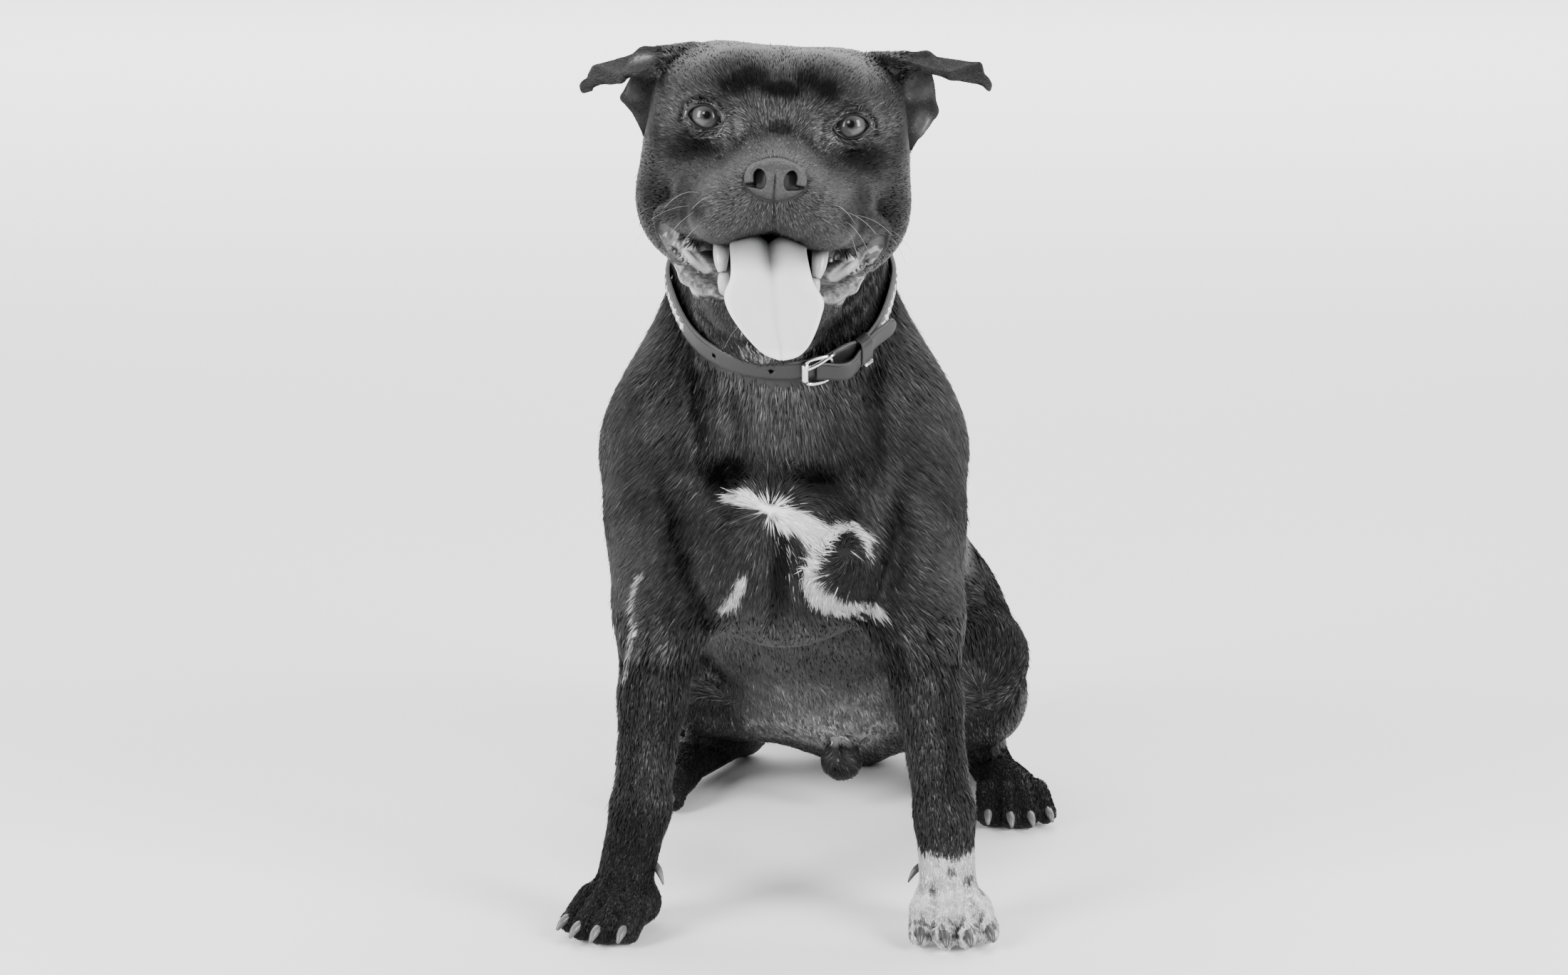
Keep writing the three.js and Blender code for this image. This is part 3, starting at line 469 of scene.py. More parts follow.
def tail(p):
    d = None
    for a, b in zip(TAIL, TAIL[1:]):
        d = join(d, cone(p, a[:3], b[:3], a[3], b[3]), 6)
    return d

def body(p):
    d = join(trunk(p), neck(p), 35)
    for s in (-1, 1):
        d = join(join(d, fore_leg(p, s), 22), hind_leg(p, s), 22)
    for s in (-1, 1):
        d = join(join(d, fore_paw(p, s), 8), hind_paw(p, s), 8)
    return join(d, tail(p), 14)

def smooth(x):
    """0 below 0, 1 above 1, and a soft step between."""
    x = np.clip(x, 0, 1)
    return x * x * (3 - 2 * x)

def bump(x, width):
    """1 at 0, and near 0 beyond twice the width."""
    return np.exp(-(x / width) ** 2)

# ---- fine form of the skin: what the joints and muscles leave out ------------------------------
LID_HALF, LID_TOP, LID_LOW, LID_SLANT = 10.2, 6.8, -6.6, 0.1
CORNER = (-9, -1.2, 0)             # from the ball's middle towards the inner corner of the eye
NIPPLES = ((-30, 21, 113), (48, 3, 117), (-46, 60, 100), (62, 52, 96))
HOLLOWS = ((-29, 278, 15, 13), (14, 277, 18, 12))      # across, up, and their sizes

def almond(x):
    """Heights of the upper and the lower lid over the eye's long axis, x across from its middle."""
    c = np.clip(1 - (x / LID_HALF) ** 2, 0, 1)
    return LID_TOP * c ** 0.6, LID_LOW * c ** 0.7

def lid_gap(e):
    """How far points lie outside the almond between the lids, seen from in front of the eye."""
    x, z = e[:, 0], e[:, 2] - LID_SLANT * e[:, 0]
    upper, lower = almond(x)
    return np.maximum.reduce((z - upper, lower - z, np.abs(x) - LID_HALF))

def lids(d, h):
    """The skin hugs the eyeball round the almond, and sinks behind it inside the almond."""
    e = h - EYE_AT
    gap = lid_gap(e)
    sink = 1 - smooth((gap + 0.9) / 0.9)
    shell = cone(e, (0, 0, 0), CORNER, EYE_R + 1.7, EYE_R + 0.9)
    shell = shell + 5.4 * sink - 0.35 * bump(gap - 1.4, 1.0)
    reach = smooth(1 - gap / np.where(shell > d, 9.0, 11.0)) * smooth((4 - e[:, 1]) / 5)
    crease = 0.9 * bump(gap - 4.6, 1.1) * smooth(e[:, 2] / 4 + 0.6)
    bag = 0.5 * bump(gap - 3.4, 1.0) * smooth(-e[:, 2] / 4)
    return d + (shell - d + crease + bag) * reach

def off_groove(q):
    """How far points lie beside the groove of the upper lip."""
    return q[:, 0] + 0.06 * (q[:, 2] + 40)

def face_folds(d, q, h):
    """Furrow of the brow, groove of the upper lip, flews and cheek folds."""
    x, y, z = q.T
    ax = h[:, 0]
    front = smooth((-y - 20) / 12)
    d = d + 1.3 * bump(x, 4) * smooth((z - 8) / 10) * smooth((24 - y) / 20)
    d = d + 1.8 * bump(off_groove(q), 0.8) * smooth((z + 62) / 4) * smooth((-38 - z) / 3) * front
    d = d - 1.2 * bump(np.hypot(ax - 27, (z + 44) * 0.8), 12) * front
    cheek = smooth((-8 - z) / 8) * smooth((z + 52) / 10) * smooth(-y / 16)
    d = d + 0.9 * bump(ax - 31 - 0.35 * (z + 20), 3.2) * cheek
    d = d - 1.0 * bump(np.hypot(ax - 22, z - 13), 9) * smooth((8 - y) / 10)
    return d

def lining(h):
    """Below zero inside the mouth, up to its corners."""
    return np.minimum(egg(h, *MOUTH_ROOF), cone(h, *MOUTH_END))

def mouth_parts(d, h):
    """The mouth's corner, and the fold of the cheek between the jaws."""
    d = carve(d, cone(h, *MOUTH_END), 2.5)
    return join(d, cone(h, *MOUTH_FOLD, 3.2, 2.4), 3)

def chest_parts(d, p):
    """Hollows over the breastbone, the seam down its middle, nipples, folds by the elbows."""
    for x, z, wide, high in HOLLOWS:
        far = np.hypot((p[:, 0] - x) / wide, (p[:, 2] - z) / high)
        d = d + 5 * bump(far, 0.75) * smooth((-90 - p[:, 1]) / 30)
    front = smooth((-95 - p[:, 1]) / 20)
    seam = bump(p[:, 0] + 6, 4) * smooth((p[:, 2] - 165) / 20) * smooth((262 - p[:, 2]) / 12)
    d = d + 2.6 * seam * front
    for s in (-1, 1):
        d = d - 3.5 * bump(np.hypot((p[:, 0] - s * 34) / 30, (p[:, 2] - 215) / 34), 0.8) * front
        crease = bump(p[:, 0] * s - 56 - 0.25 * (p[:, 2] - 215), 5)
        reach = smooth((p[:, 2] - 165) / 20) * smooth((285 - p[:, 2]) / 40)
        d = d + 2.6 * crease * reach * front
    for c in NIPPLES:
        d = join(d, egg(p, c, (4, 4, 4)), 3)
    return d

def front_of(p, y):
    """0 behind a place along the body, 1 from 25 millimetres in front of it."""
    return smooth((y - p[:, 1]) / 25)

def throat_parts(d, p):
    """Loose folds over and under the collar."""
    up = above_collar(p)
    side = smooth((np.abs(p[:, 0]) - 14) / 16) * smooth((-60 - p[:, 1]) / 30)
    for level, deep in ((16, 1.6), (27, 1.4)):
        d = d + deep * bump(up - level - 0.1 * np.abs(p[:, 0]), 3.2) * side
    below = smooth((-12 - up) / 10) * smooth((up + 70) / 25)
    for x, deep in ((-52, 2.2), (50, 2.2), (-30, 1.4)):
        d = d + deep * bump(p[:, 0] - x + 0.1 * up, 5) * below * front_of(p, -70)
    return d

def leg_parts(d, p):
    """Tendon grooves of the forelegs and the gaps between the toes."""
    for s in (-1, 1):
        el, wr = vec(*FORE[s]["elbow"]), vec(*FORE[s]["wrist"])
        t = np.clip((p[:, 2] - wr[2]) / (el[2] - wr[2]), 0, 1)
        mid = wr + (el - wr) * t[:, None]
        along = smooth((p[:, 2] - 78) / 25) * smooth((190 - p[:, 2]) / 20)
        near = smooth((34 - np.hypot(p[:, 0] - mid[:, 0], p[:, 1] - mid[:, 1])) / 6)
        d = d + 1.5 * bump(p[:, 0] - mid[:, 0] - s * 7, 3.2) * along * near * front_of(p, -100)
        d = d - 1.2 * bump(p[:, 0] - mid[:, 0] + s * 3, 5) * along * near * front_of(p, -100)
    for at, ahead, across in list(FOREPAW.values()) + list(HINDPAW.values()):
        q = p - at
        f, w = q @ ahead, q @ across
        for i in (-1, 0, 1):
            line = w - i * (10.6 + 2.3 * smooth((f - 26) / 25))
            reach = smooth((f - 20) / 8) * smooth((48 - q[:, 2]) / 8) * smooth((66 - f) / 6)
            d = d + 1.9 * bump(line, 1.7) * reach
    return d

COAT_DEPTH, SHORTER = 2.0, 0.9     # on the body, and how much less on the head and the feet

def depth(p):
    """How far the skin lies under the tips of the coat."""
    h = to_head(p)
    head = smooth((75 - np.abs(h[:, 1] - 5)) / 20) * smooth((h[:, 2] + 125) / 20)
    legs = smooth((80 - p[:, 2]) / 30)
    return COAT_DEPTH - SHORTER * np.maximum(head, legs)

EAR_SPOTS = (                      # across, up, and their sizes
    (-77, 28, 10, 8), (-83, 13, 6, 7), (78, 25, 12, 9), (82, 5, 6, 9))

def in_ear(q):
    """Near 1 on the bare mounds inside the ears, 0 away from them, seen from in front."""
    far = [np.hypot((q[:, 0] - x) / wide, (q[:, 2] - z) / high)
           for x, z, wide, high in EAR_SPOTS]
    return (1 - smooth((np.minimum.reduce(far) - 0.45) / 0.8)) * smooth((q[:, 1] - 34) / 6)

def above_collar(p):
    """How far places are above the collar's middle plane."""
    return (p - COLLAR_AT) @ COLLAR_UP

def skin_form(p):
    """Distance to the bare skin."""
    q = to_head(p)
    h = halved(q)
    ears = np.minimum(ear(q, -1), ear(q, 1)) + 0.4 - 1.4 * in_ear(q)
    head = join(face_folds(muzzle(h), q, h), ears, 7)
    up = above_collar(p)
    head = carve(head, up - 9, 10)
    head = carve(head, nose_pad(h) + 2.4, 1.2)
    rest = leg_parts(throat_parts(chest_parts(body(p), p), p), p)
    d = join(rest, head, 7 + 11 * smooth((up - 12) / 25))
    d = lids(mouth_parts(d, h) + depth(p), h)
    return np.maximum(d, 0.6 - p[:, 2])

# ---- meshes ------------------------------------------------------------------------------------
def deselect():
    for obj in bpy.context.selected_objects:
        obj.select_set(False)

def select_only(obj):
    deselect()
    obj.select_set(True)
    bpy.context.view_layer.objects.active = obj

def edit(obj, *steps):
    """Takes an object through steps of edit mode."""
    select_only(obj)
    bpy.ops.object.mode_set(mode="EDIT")
    for step in steps:
        step()
    bpy.ops.object.mode_set(mode="OBJECT")

def everything():
    bpy.ops.mesh.select_all(action="SELECT")

def weld(near=1e-6):
    bpy.ops.mesh.remove_doubles(threshold=near)

def face_out():
    bpy.ops.mesh.normals_make_consistent(inside=False)

def apply(obj, kind, **settings):
    """Adds a modifier and applies it."""
    modifier = obj.modifiers.new(kind.title(), kind)
    for key, value in settings.items():
        setattr(modifier, key, value)
    select_only(obj)
    bpy.ops.object.modifier_apply(modifier=modifier.name)

def places(obj):
    """An object's points as millimetres of the form."""
    co = np.empty(len(obj.data.vertices) * 3)
    obj.data.vertices.foreach_get("co", co)
    return co.reshape(-1, 3) / MM - SHIFT

def put(obj, p):
    """Sets an object's points from millimetres of the form."""
    obj.data.vertices.foreach_set("co", ((p + SHIFT) * MM).ravel())
    obj.data.update()

def note(obj, name, values):
    """Stores one number for each point."""
    layer = obj.data.attributes.get(name) or obj.data.attributes.new(name, "FLOAT", "POINT")
    layer.data.foreach_set("value", np.asarray(values, float))

def keep(obj, slot, material, *nodes):
    """A finished piece: its body, its finish and the nodes it stands for. The slot is not used."""
    obj.data.materials.clear()
    obj.data.materials.append(material)
    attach(obj, "root")
    if nodes:
        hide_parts(*nodes)
    return obj

def cast(name, nodes, cell):
    """One closed mesh over copies of solids, with faces of the given size in millimetres."""
    deselect()
    for node in nodes:
        part = bpy.data.objects.new(name, frame["nodes"][node].data.copy())
        bpy.context.collection.objects.link(part)
        part.select_set(True)
        bpy.context.view_layer.objects.active = part
    if len(nodes) > 1:
        bpy.ops.object.join()
    obj = bpy.context.view_layer.objects.active
    edit(obj, everything, lambda: weld(1e-5))
    apply(obj, "REMESH", mode="VOXEL", voxel_size=cell * MM)
    obj.name = name
    return obj

def draw_on(obj, form, reach, turns=4, choose=None):
    """Moves an object's points on to the zero of a form, by at most reach in a turn."""
    p = places(obj)
    at = np.arange(len(p)) if choose is None else np.flatnonzero(choose)
    q, e = p[at], 0.3
    for _ in range(turns):
        d = form(q)
        slope = np.stack([(form(q + v) - d) / e for v in np.eye(3) * e], 1)
        step = np.clip(d / np.maximum((slope ** 2).sum(1), 0.3), -reach, reach)
        q = q - step[:, None] * slope
    p[at] = q
    put(obj, p)

def middles(mesh):
    """The middle of each face, as millimetres of the form."""
    found = np.empty(len(mesh.polygons) * 3)
    mesh.polygons.foreach_get("center", found)
    return found.reshape(-1, 3) / MM - SHIFT

def choose_faces(mesh, chosen):
    """Selects just these faces for the next step of edit mode."""
    mesh.vertices.foreach_set("select", np.zeros(len(mesh.vertices), bool))
    mesh.edges.foreach_set("select", np.zeros(len(mesh.edges), bool))
    mesh.polygons.foreach_set("select", chosen)
    bpy.context.tool_settings.mesh_select_mode = (False, False, True)

def split(obj, choose):
    """Halves the faces whose middle is chosen."""
    choose_faces(obj.data, choose(middles(obj.data)))
    edit(obj, lambda: bpy.ops.mesh.subdivide(number_cuts=1, quadcorner="INNERVERT"))

def even(obj, choose, turns):
    """Lets chosen points slide half the way to the middle of their neighbours in each turn."""
    mesh = obj.data
    edges = np.empty(len(mesh.edges) * 2, int)
    mesh.edges.foreach_get("vertices", edges)
    a, b = edges.reshape(-1, 2).T
    p = places(obj)
    count = np.bincount(a, minlength=len(p)) + np.bincount(b, minlength=len(p))
    free = choose(p).astype(float)
    for _ in range(turns):
        total = [np.bincount(a, p[b, i], len(p)) + np.bincount(b, p[a, i], len(p))
                 for i in range(3)]
        p = p + (np.stack(total, 1) / count[:, None] - p) * (0.5 * free)[:, None]
    put(obj, p)

# ---- skin --------------------------------------------------------------------------------------
SKIN_CELL = 5.25                   # size of the skin's faces before any are split, in millimetres
FLESH = [node for node, slot in SLOT_OF.items() if slot in ("coat", "white_coat")]

def of_head(p):
    h = to_head(p)
    return (h[:, 1] < 62) & (h[:, 2] > -128) & (h[:, 2] < 60)

def of_face(p):
    h = halved(to_head(p))
    mouth = (h[:, 1] < 24) & (h[:, 2] < -46) & (h[:, 2] > -116) & (h[:, 0] < 68)
    muzzle_end = (h[:, 1] < -34) & (h[:, 2] < -16)
    eye = np.linalg.norm((h - EYE_AT) / (1.3, 1, 1), axis=1) < 22
    return mouth | muzzle_end | eye

def of_lids(p):
    e = halved(to_head(p)) - EYE_AT
    return (lid_gap(e) < 4.5) & (np.linalg.norm(e, axis=1) < 17) & (e[:, 1] < 3)

def to_rear(p):
    """Places in the rump's own directions."""
    return (p - vec(*REAR_AT, 0)) @ turn("z", REAR_YAW)

def of_feet(p):
    r = to_rear(p)
    return (p[:, 2] < 62) & ((p[:, 1] < -120) | (np.abs(r[:, 0]) > 70) & (r[:, 1] < -30))

def of_marks(p):
    breast = (np.abs(p[:, 0] - 14) < 48) & (np.abs(p[:, 2] - 228) < 42)
    scar = (p[:, 0] < -70) & (np.abs(p[:, 2] - 184) < 42)
    return (breast | scar) & (p[:, 1] < -95)

def of_ears(p):
    return (halved(to_head(p))[:, 0] > 68) & of_head(p)

def make_skin():
    """The one skin, with smaller faces where the form is finer."""
    skin = cast("skin", FLESH + ["eye_left", "eye_right"], SKIN_CELL)
    draw_on(skin, skin_form, reach=4, turns=6)
    for region, turns in ((lambda p: of_head(p) | of_feet(p) | of_marks(p), 2), (of_marks, 1),
                          (lambda p: of_face(p) | of_ears(p), 2), (of_lids, 3)):
        split(skin, region)
        even(skin, region, turns)
        draw_on(skin, skin_form, reach=0.8, choose=region(places(skin)))
    even(skin, of_ears, 3)
    return skin

# ---- small pieces ------------------------------------------------------------------------------
def shade(obj):
    obj.data.polygons.foreach_set("use_smooth", np.ones(len(obj.data.polygons), bool))

def rod(name, points, radii, closed=False, round_steps=3):
    """A round bar through points, in millimetres, with a radius at each."""
    curve = bpy.data.curves.new(name, "CURVE")
    curve.dimensions = "3D"
    curve.bevel_depth, curve.bevel_resolution, curve.use_fill_caps = MM, round_steps, not closed
    spline = curve.splines.new("NURBS")
    spline.points.add(len(points) - 1)
    for point, place, radius in zip(spline.points, points, radii):
        point.co = (*((np.asarray(place, float) + SHIFT) * MM), 1)
        point.radius = radius
    spline.use_cyclic_u, spline.use_endpoint_u = closed, not closed
    spline.order_u, spline.resolution_u = 3, 4
    obj = bpy.data.objects.new(name, curve)
    bpy.context.collection.objects.link(obj)
    select_only(obj)
    bpy.ops.object.convert(target="MESH")
    edit(obj, everything, weld, face_out)
    shade(obj)
    return obj

def round_turn(count):
    """Angles all the way round, without the last that is the first again."""
    return np.linspace(0, 2 * np.pi, count, endpoint=False)

def together(name, parts):
    """Makes one object of several."""
    deselect()
    for part in parts:
        part.select_set(True)
    bpy.context.view_layer.objects.active = parts[0]
    bpy.ops.object.join()
    parts[0].name = name
    return parts[0]

CORNEA_HIGH, CORNEA_TURN = 0.075, 44       # share of the ball's radius; degrees from its middle
GAZE = {-1: unit(vec(0.05, -1, 0.10)), 1: unit(vec(-0.05, -1, 0.10))}

def make_eyes():
    """Balls with a cornea that stands out, turned towards the viewer of the head."""
    glass, rim = eye_finish(), rim_finish()
    for s, side in ((-1, "right"), (1, "left")):
        bpy.ops.mesh.primitive_uv_sphere_add(segments=48, ring_count=40, radius=(EYE_R + 0.1) * MM)
        ball = bpy.context.object
        ball.name = f"eyeball_{side}"
        q = places(ball) + SHIFT
        turn_out = np.degrees(np.arccos(np.clip(q[:, 2] / np.linalg.norm(q, axis=1), -1, 1)))
        q = q * (1 + CORNEA_HIGH * smooth((CORNEA_TURN - turn_out) / 30))[:, None]
        look = GAZE[s] @ HEAD_TURN.T
        wide = unit(np.cross(look, vec(0, 0, 1)))
        q = q @ np.stack((wide, np.cross(look, wide), look))
        put(ball, q + from_head(EYE_AT * (s, 1, 1)))
        note(ball, "turn", turn_out / 50)
        shade(ball)
        keep(ball, "eye", glass, f"eye_{side}")
        t = round_turn(40)
        x = LID_HALF * np.cos(t)
        z = np.where(np.sin(t) > 0, *almond(x)) + LID_SLANT * x
        inner = np.clip(x / CORNER[0], 0, 1)
        deep = (EYE_R + 1.1 - 0.8 * inner) ** 2 - (x - CORNER[0] * inner) ** 2 - z ** 2
        y = CORNER[1] * inner - np.sqrt(np.maximum(deep, 4))
        ring = from_head((np.stack((x, y, z), 1) + EYE_AT) * (s, 1, 1))
        lid = rod(f"lid_rim_{side}", ring, np.full(len(t), 0.85), closed=True)
        keep(lid, "nose_leather", rim)

def nostril(h):
    """How deep the nostrils and their side slits go in, in millimetres, seen from in front."""
    x, z = np.abs(h[:, 0] + 0.2), h[:, 2]
    hole = np.hypot((x - 8.3 - 0.12 * (z + 31)) / 3.0, (z + 31.2) / 4.7)
    slit = cone(np.stack((x, z), 1), (9, -34.6), (17, -35.0), 1.5, 0.5)
    return np.maximum(16 * smooth((1.2 - hole) / 0.4), 5 * smooth((0.5 - slit) / 0.8))

def make_nose():
    """Leather pad with two comma-shaped nostrils and a furrow down its middle."""
    bpy.ops.mesh.primitive_ico_sphere_add(subdivisions=6, radius=MM)
    nose = bpy.context.object
    nose.name = "nose_pad"
    put(nose, from_head((places(nose) + SHIFT) * (17, 12, 11) + (0, -66, -31)))
    draw_on(nose, lambda p: nose_pad(halved(to_head(p))) + 0.1, reach=3, turns=6)
    h = to_head(places(nose))
    front = smooth((-64 - h[:, 1]) / 3)
    deep, aside = nostril(h), np.abs(h[:, 0])
    wing = bump(np.hypot((aside - 8.8) / 3.0, (h[:, 2] + 31.2) / 4.7) - 1.75, 0.4)
    wing = wing * smooth((aside - 3) / 4)
    furrow = 1.3 * bump(h[:, 0] + 0.3, 0.7) * smooth((-24 - h[:, 2]) / 6)
    h[:, 1] += (deep - 0.9 * wing * (deep < 1) + furrow) * front
    put(nose, from_head(h))
    apply(nose, "SMOOTH", factor=0.5, iterations=2)
    # painted shade: near black in the nostrils, darker along the furrow and on the underside of the
    # pad
    line = bump(h[:, 0] + 0.3, 0.8) * smooth((-27 - h[:, 2]) / 3)
    below = smooth((-36 - h[:, 2]) / 4)
    tone = (1 - 0.97 * smooth(deep / 3.0) * front) * (1 - 0.85 * line) * (1 - 0.15 * below)
    note(nose, "tone", tone)
    shade(nose)
    return keep(nose, "nose_leather", nose_finish(), "nose")

def through(stations, count):
    """A smooth run of rows through the given ones."""
    s = np.asarray(stations, float)
    s = np.vstack((2 * s[0] - s[1], s, 2 * s[-1] - s[-2]))
    t = np.linspace(0, len(stations) - 1.001, count)
    i, f = t.astype(int), (t % 1)[:, None]
    a, b, c, d = s[i], s[i + 1], s[i + 2], s[i + 3]
    return 0.5 * (2 * b + (c - a) * f + (2 * a - 5 * b + 4 * c - d) * f ** 2
                  + (3 * b - a - 3 * c + d) * f ** 3)

def wrap(name, rings, capped=True):
    """A closed skin over rings of points of the form."""
    k, n = rings.shape[:2]
    quads = [(i * n + j, i * n + (j + 1) % n, (i + 1) % k * n + (j + 1) % n, (i + 1) % k * n + j)
             for i in range(k - 1 if capped else k) for j in range(n)]
    if capped:
        quads += [tuple(range(n)), tuple((k - 1) * n + j for j in reversed(range(n)))]
    mesh = bpy.data.meshes.new(name)
    mesh.from_pydata(((rings.reshape(-1, 3) + SHIFT) * MM).tolist(), [], quads)
    obj = bpy.data.objects.new(name, mesh)
    bpy.context.collection.objects.link(obj)
    edit(obj, everything, face_out)
    shade(obj)
    return obj

TONGUE = (   # along its middle in the head's directions: y, z, half width, x, thickness
    (12, -84, 14, 0, 10), (-8, -76.5, 17.5, 0, 10.8), (-26, -70.5, 20, -0.6, 10.4),
    (-40, -67.4, 21, -1.4, 9.4), (-51, -69.6, 21, -1.4, 8.6), (-57, -77, 21.4, 0, 7.8),
    (-60, -86, 22.8, 1.6, 7), (-61, -95, 27, 3.2, 6.4), (-61.6, -104, 25, 4.2, 6),
    (-61.8, -113, 20.4, 6.2, 5.6), (-61.6, -120, 15.6, 8, 5), (-61.2, -124.6, 11.2, 8.8, 4.2),
    (-60.8, -127, 7.4, 9.2, 3), (-60.6, -128.2, 2.4, 9.3, 1.4))

def squared(x, power):
    """A sine or cosine, bent so that the section it draws is fuller at its corners."""
    return np.sign(x) * np.abs(x) ** power

def make_tongue():
    """Broad and soft, grooved down its middle, hanging over the lip and widest just below it."""
    rows = through(TONGUE, 90)
    slope = np.gradient(rows[:, :2], axis=0)
    slope /= np.linalg.norm(slope, axis=1)[:, None]
    a = round_turn(72)
    across, face = squared(np.cos(a), 0.85), squared(np.sin(a), 0.75)
    y, z, half, x, thick = (column[:, None] for column in rows.T)
    back = smooth((y + 56) / 22)
    upper = smooth(face / 0.3)
    lobes = bump(np.abs(across) - 0.48, 0.3) * (1 + back)
    groove = (1.0 + 3.4 * back) * bump(across * half, 1.3 + 3.2 * back) * smooth(half / 14)
    waves = 0.35 * np.sin(z * 0.33 + 2.2 * across) * across ** 2
    out = thick / 2 * face + (lobes - groove + waves) * upper - 1.1 * across ** 4 * (1 - back)
    ty, tz = slope[:, :1], slope[:, 1:]
    rings = np.stack((x + half * across + 0 * out, y + tz * out, z - ty * out), 2)
    tongue = wrap("tongue_flesh", from_head(rings.reshape(-1, 3)).reshape(rings.shape))
    # painted shade: darker towards the back and the top, under the upper lip, and down the groove
    # in its middle
    root = np.maximum(smooth((y + 50) / 24), 0.78 * smooth((z + 85) / 15)) + 0 * across
    deep = bump(across * half, 1.0 + 4 * smooth((z + 92) / 16)) * upper
    rim = smooth((np.abs(across) - 0.86) / 0.1) + smooth((-121 - z) / 4)
    tone = (0.62 - 0.08 * deep + 0.12 * np.minimum(rim, 1)) * (1 - 0.93 * root)
    tone = tone * (1 - 0.85 * deep * smooth((z + 90) / 14))
    note(tongue, "tone", tone.ravel())
    return keep(tongue, "tongue", tongue_finish(), "tongue")

UPPER_FANG = (   # across, ahead, up, radius
    (27, -22, -54, 4.8), (27, -28, -61, 4.8), (27.2, -34, -68, 4.8), (27, -39.5, -75, 4.4),
    (26.4, -42, -80, 3.6), (25.8, -42.5, -83.5, 2.3))
LOWER_FANG = (
    (21, -32, -100, 4.6), (22.5, -38.5, -94, 4.6), (24.4, -44.4, -87.5, 4.2),
    (25, -45.6, -84.2, 2.7))

def make_teeth():
    """The four blunt fangs."""
    parts = []
    for s in (-1, 1):
        for tooth in (UPPER_FANG, LOWER_FANG):
            points = [from_head((s * x, y, z)) for x, y, z, _ in tooth]
            parts.append(rod("fang", points, [r for *_, r in tooth], round_steps=5))
    teeth = together("teeth", parts)
    up = to_head(places(teeth))[:, 2]
    # painted shade: darker at the top of the fangs, under the upper lip, and towards the roots of
    # the lower ones
    note(teeth, "tone", 1 - 0.86 * smooth((up + 77) / 9) - 0.4 * smooth((-90 - up) / 8))
    return keep(teeth, "eye", tooth_finish())

def make_beads():
    """Small fleshy beads along the inner edge of the lower lip."""
    beads = []
    for s in (-1, 1):
        for t in np.linspace(0, 1, 11):
            edge = vec(56 - 25 * t, 2 - 26 * t, -74 - 20 * t + 3 * t * t)
            edge = edge + CHANCE.uniform(-0.7, 0.7, 3)
            radius = CHANCE.uniform(0.9, 1.5) * MM
            bpy.ops.mesh.primitive_uv_sphere_add(segments=12, ring_count=8, radius=radius)
            bead = bpy.context.object
            put(bead, places(bead) + SHIFT + from_head(edge * (s, 1, 1)))
            beads.append(bead)
    row = together("lip_beads", beads)
    note(row, "tone", np.full(len(row.data.vertices), 0.09))
    note(row, "wet", np.ones(len(row.data.vertices)))
    shade(row)
    keep(row, "coat", bpy.data.materials["skin"])

WHISKERS = (   # in the head's directions: root, tip, and how far it bows down
    ((-37, -40, -43), (-59, -62, -50), -5), ((-36, -42, -49), (-55, -58, -64), -3),
    ((-33, -44, -54), (-50, -66, -72), -3), ((30, -46, -48), (56, -66, -57), -5),
    ((36, -40, -56), (48, -60, -74), -7), ((33, -44, -51), (52, -72, -66), -5),
    ((28, -50, -44), (44, -78, -52), -4), ((-28, -50, -44), (-44, -76, -50), -4),
    ((39, -32, -49), (66, -48, -58), -4), ((-39, -32, -49), (-66, -44, -57), -3),
    ((64, 24, -56), (80, 8, -69), -3), ((66, 26, -60), (77, 10, -76), -3),
    ((-66, 26, -52), (-79, 12, -62), -3), ((-64, 24, -60), (-76, 8, -72), -2),
    ((12, -42, -112), (16, -60, -124), -2), ((-14, -42, -112), (-22, -58, -124), -2))

def make_whiskers():
    """Bowed, tapering whiskers on muzzle, cheeks and chin."""
    hairs = []
    for root, tip, bow in WHISKERS:
        t = np.linspace(0, 1, 9)[:, None]
        way = vec(*root) * (1 - t) + vec(*tip) * t + vec(0, 0, 1) * bow * -(4 * t * (1 - t))
        radii = np.linspace(0.17, 0.05, 9)
        hairs.append(rod("whisker", from_head(way), radii, round_steps=1))
    return keep(together("whiskers", hairs), "coat", whisker_finish())

# Along a claw from its root: how far out, how far down, and the radius there.
CLAW = ((-3, -0.4, 3.1), (2, 0, 3.0), (6, 1.0, 2.7), (9.4, 2.8, 2.1), (12, 5.4, 0.9))
DEWCLAW = ((1, 0, 2.6), (5, 0.6, 2.5), (9, 3, 1.9), (13, 8.5, 0.5))

def curved_rod(name, root, out, shape, round_steps):
    """A horn that grows out from its root and bends down."""
    path = [root + out * far + vec(0, 0, -drop) for far, drop, _ in shape]
    return rod(name, path, [radius for *_, radius in shape], round_steps=round_steps)

def make_claws():
    """One claw to each toe, and a dewclaw on the inner side of each foreleg."""
    pale, dark = claw_finish("claw_pale", 0.04, 0.15), claw_finish("claw_dark", 0.015, 0.07)
    for limb, paws in (("fore", FOREPAW), ("hind", HINDPAW)):
        for s, side in ((-1, "right"), (1, "left")):
            at, ahead, across = paws[s]
            look = dark if (limb, s) == ("fore", 1) else pale
            for i, (_, tip) in enumerate(toes(at, ahead, across)):
                out = unit(ahead + across * (i - 1.5) * 0.12)
                root = tip + out * 1.0 + (0, 0, 3.5)
                toe = "inner" if s * (i - 1.5) < 0 else "outer"
                name = f"{limb}_claw_{side}_{toe}_{'b' if abs(i - 1.5) > 1 else 'a'}"
                horn = curved_rod(name + "_horn", root, out, CLAW, 4)
                keep(horn, "claw", look, name)
            if limb == "fore":
                inward = -across * s
                root, out = at + inward * 12 + (0, 0, 37), unit(inward * 0.8 + ahead * 0.5)
                horn = curved_rod(f"dewclaw_{side}_horn", root, out, DEWCLAW, 3)
                keep(horn, "claw", look, f"dewclaw_{side}")

# ---- collar ------------------------------------------------------------------------------------
def collar_way(deg):
    """Straight out from the collar's middle: 0 degrees is the throat, 90 the dog's left."""
    t = np.radians(np.atleast_1d(deg))[:, None]
    return np.sin(t) * vec(1, 0, 0) - np.cos(t) * COLLAR_BACK

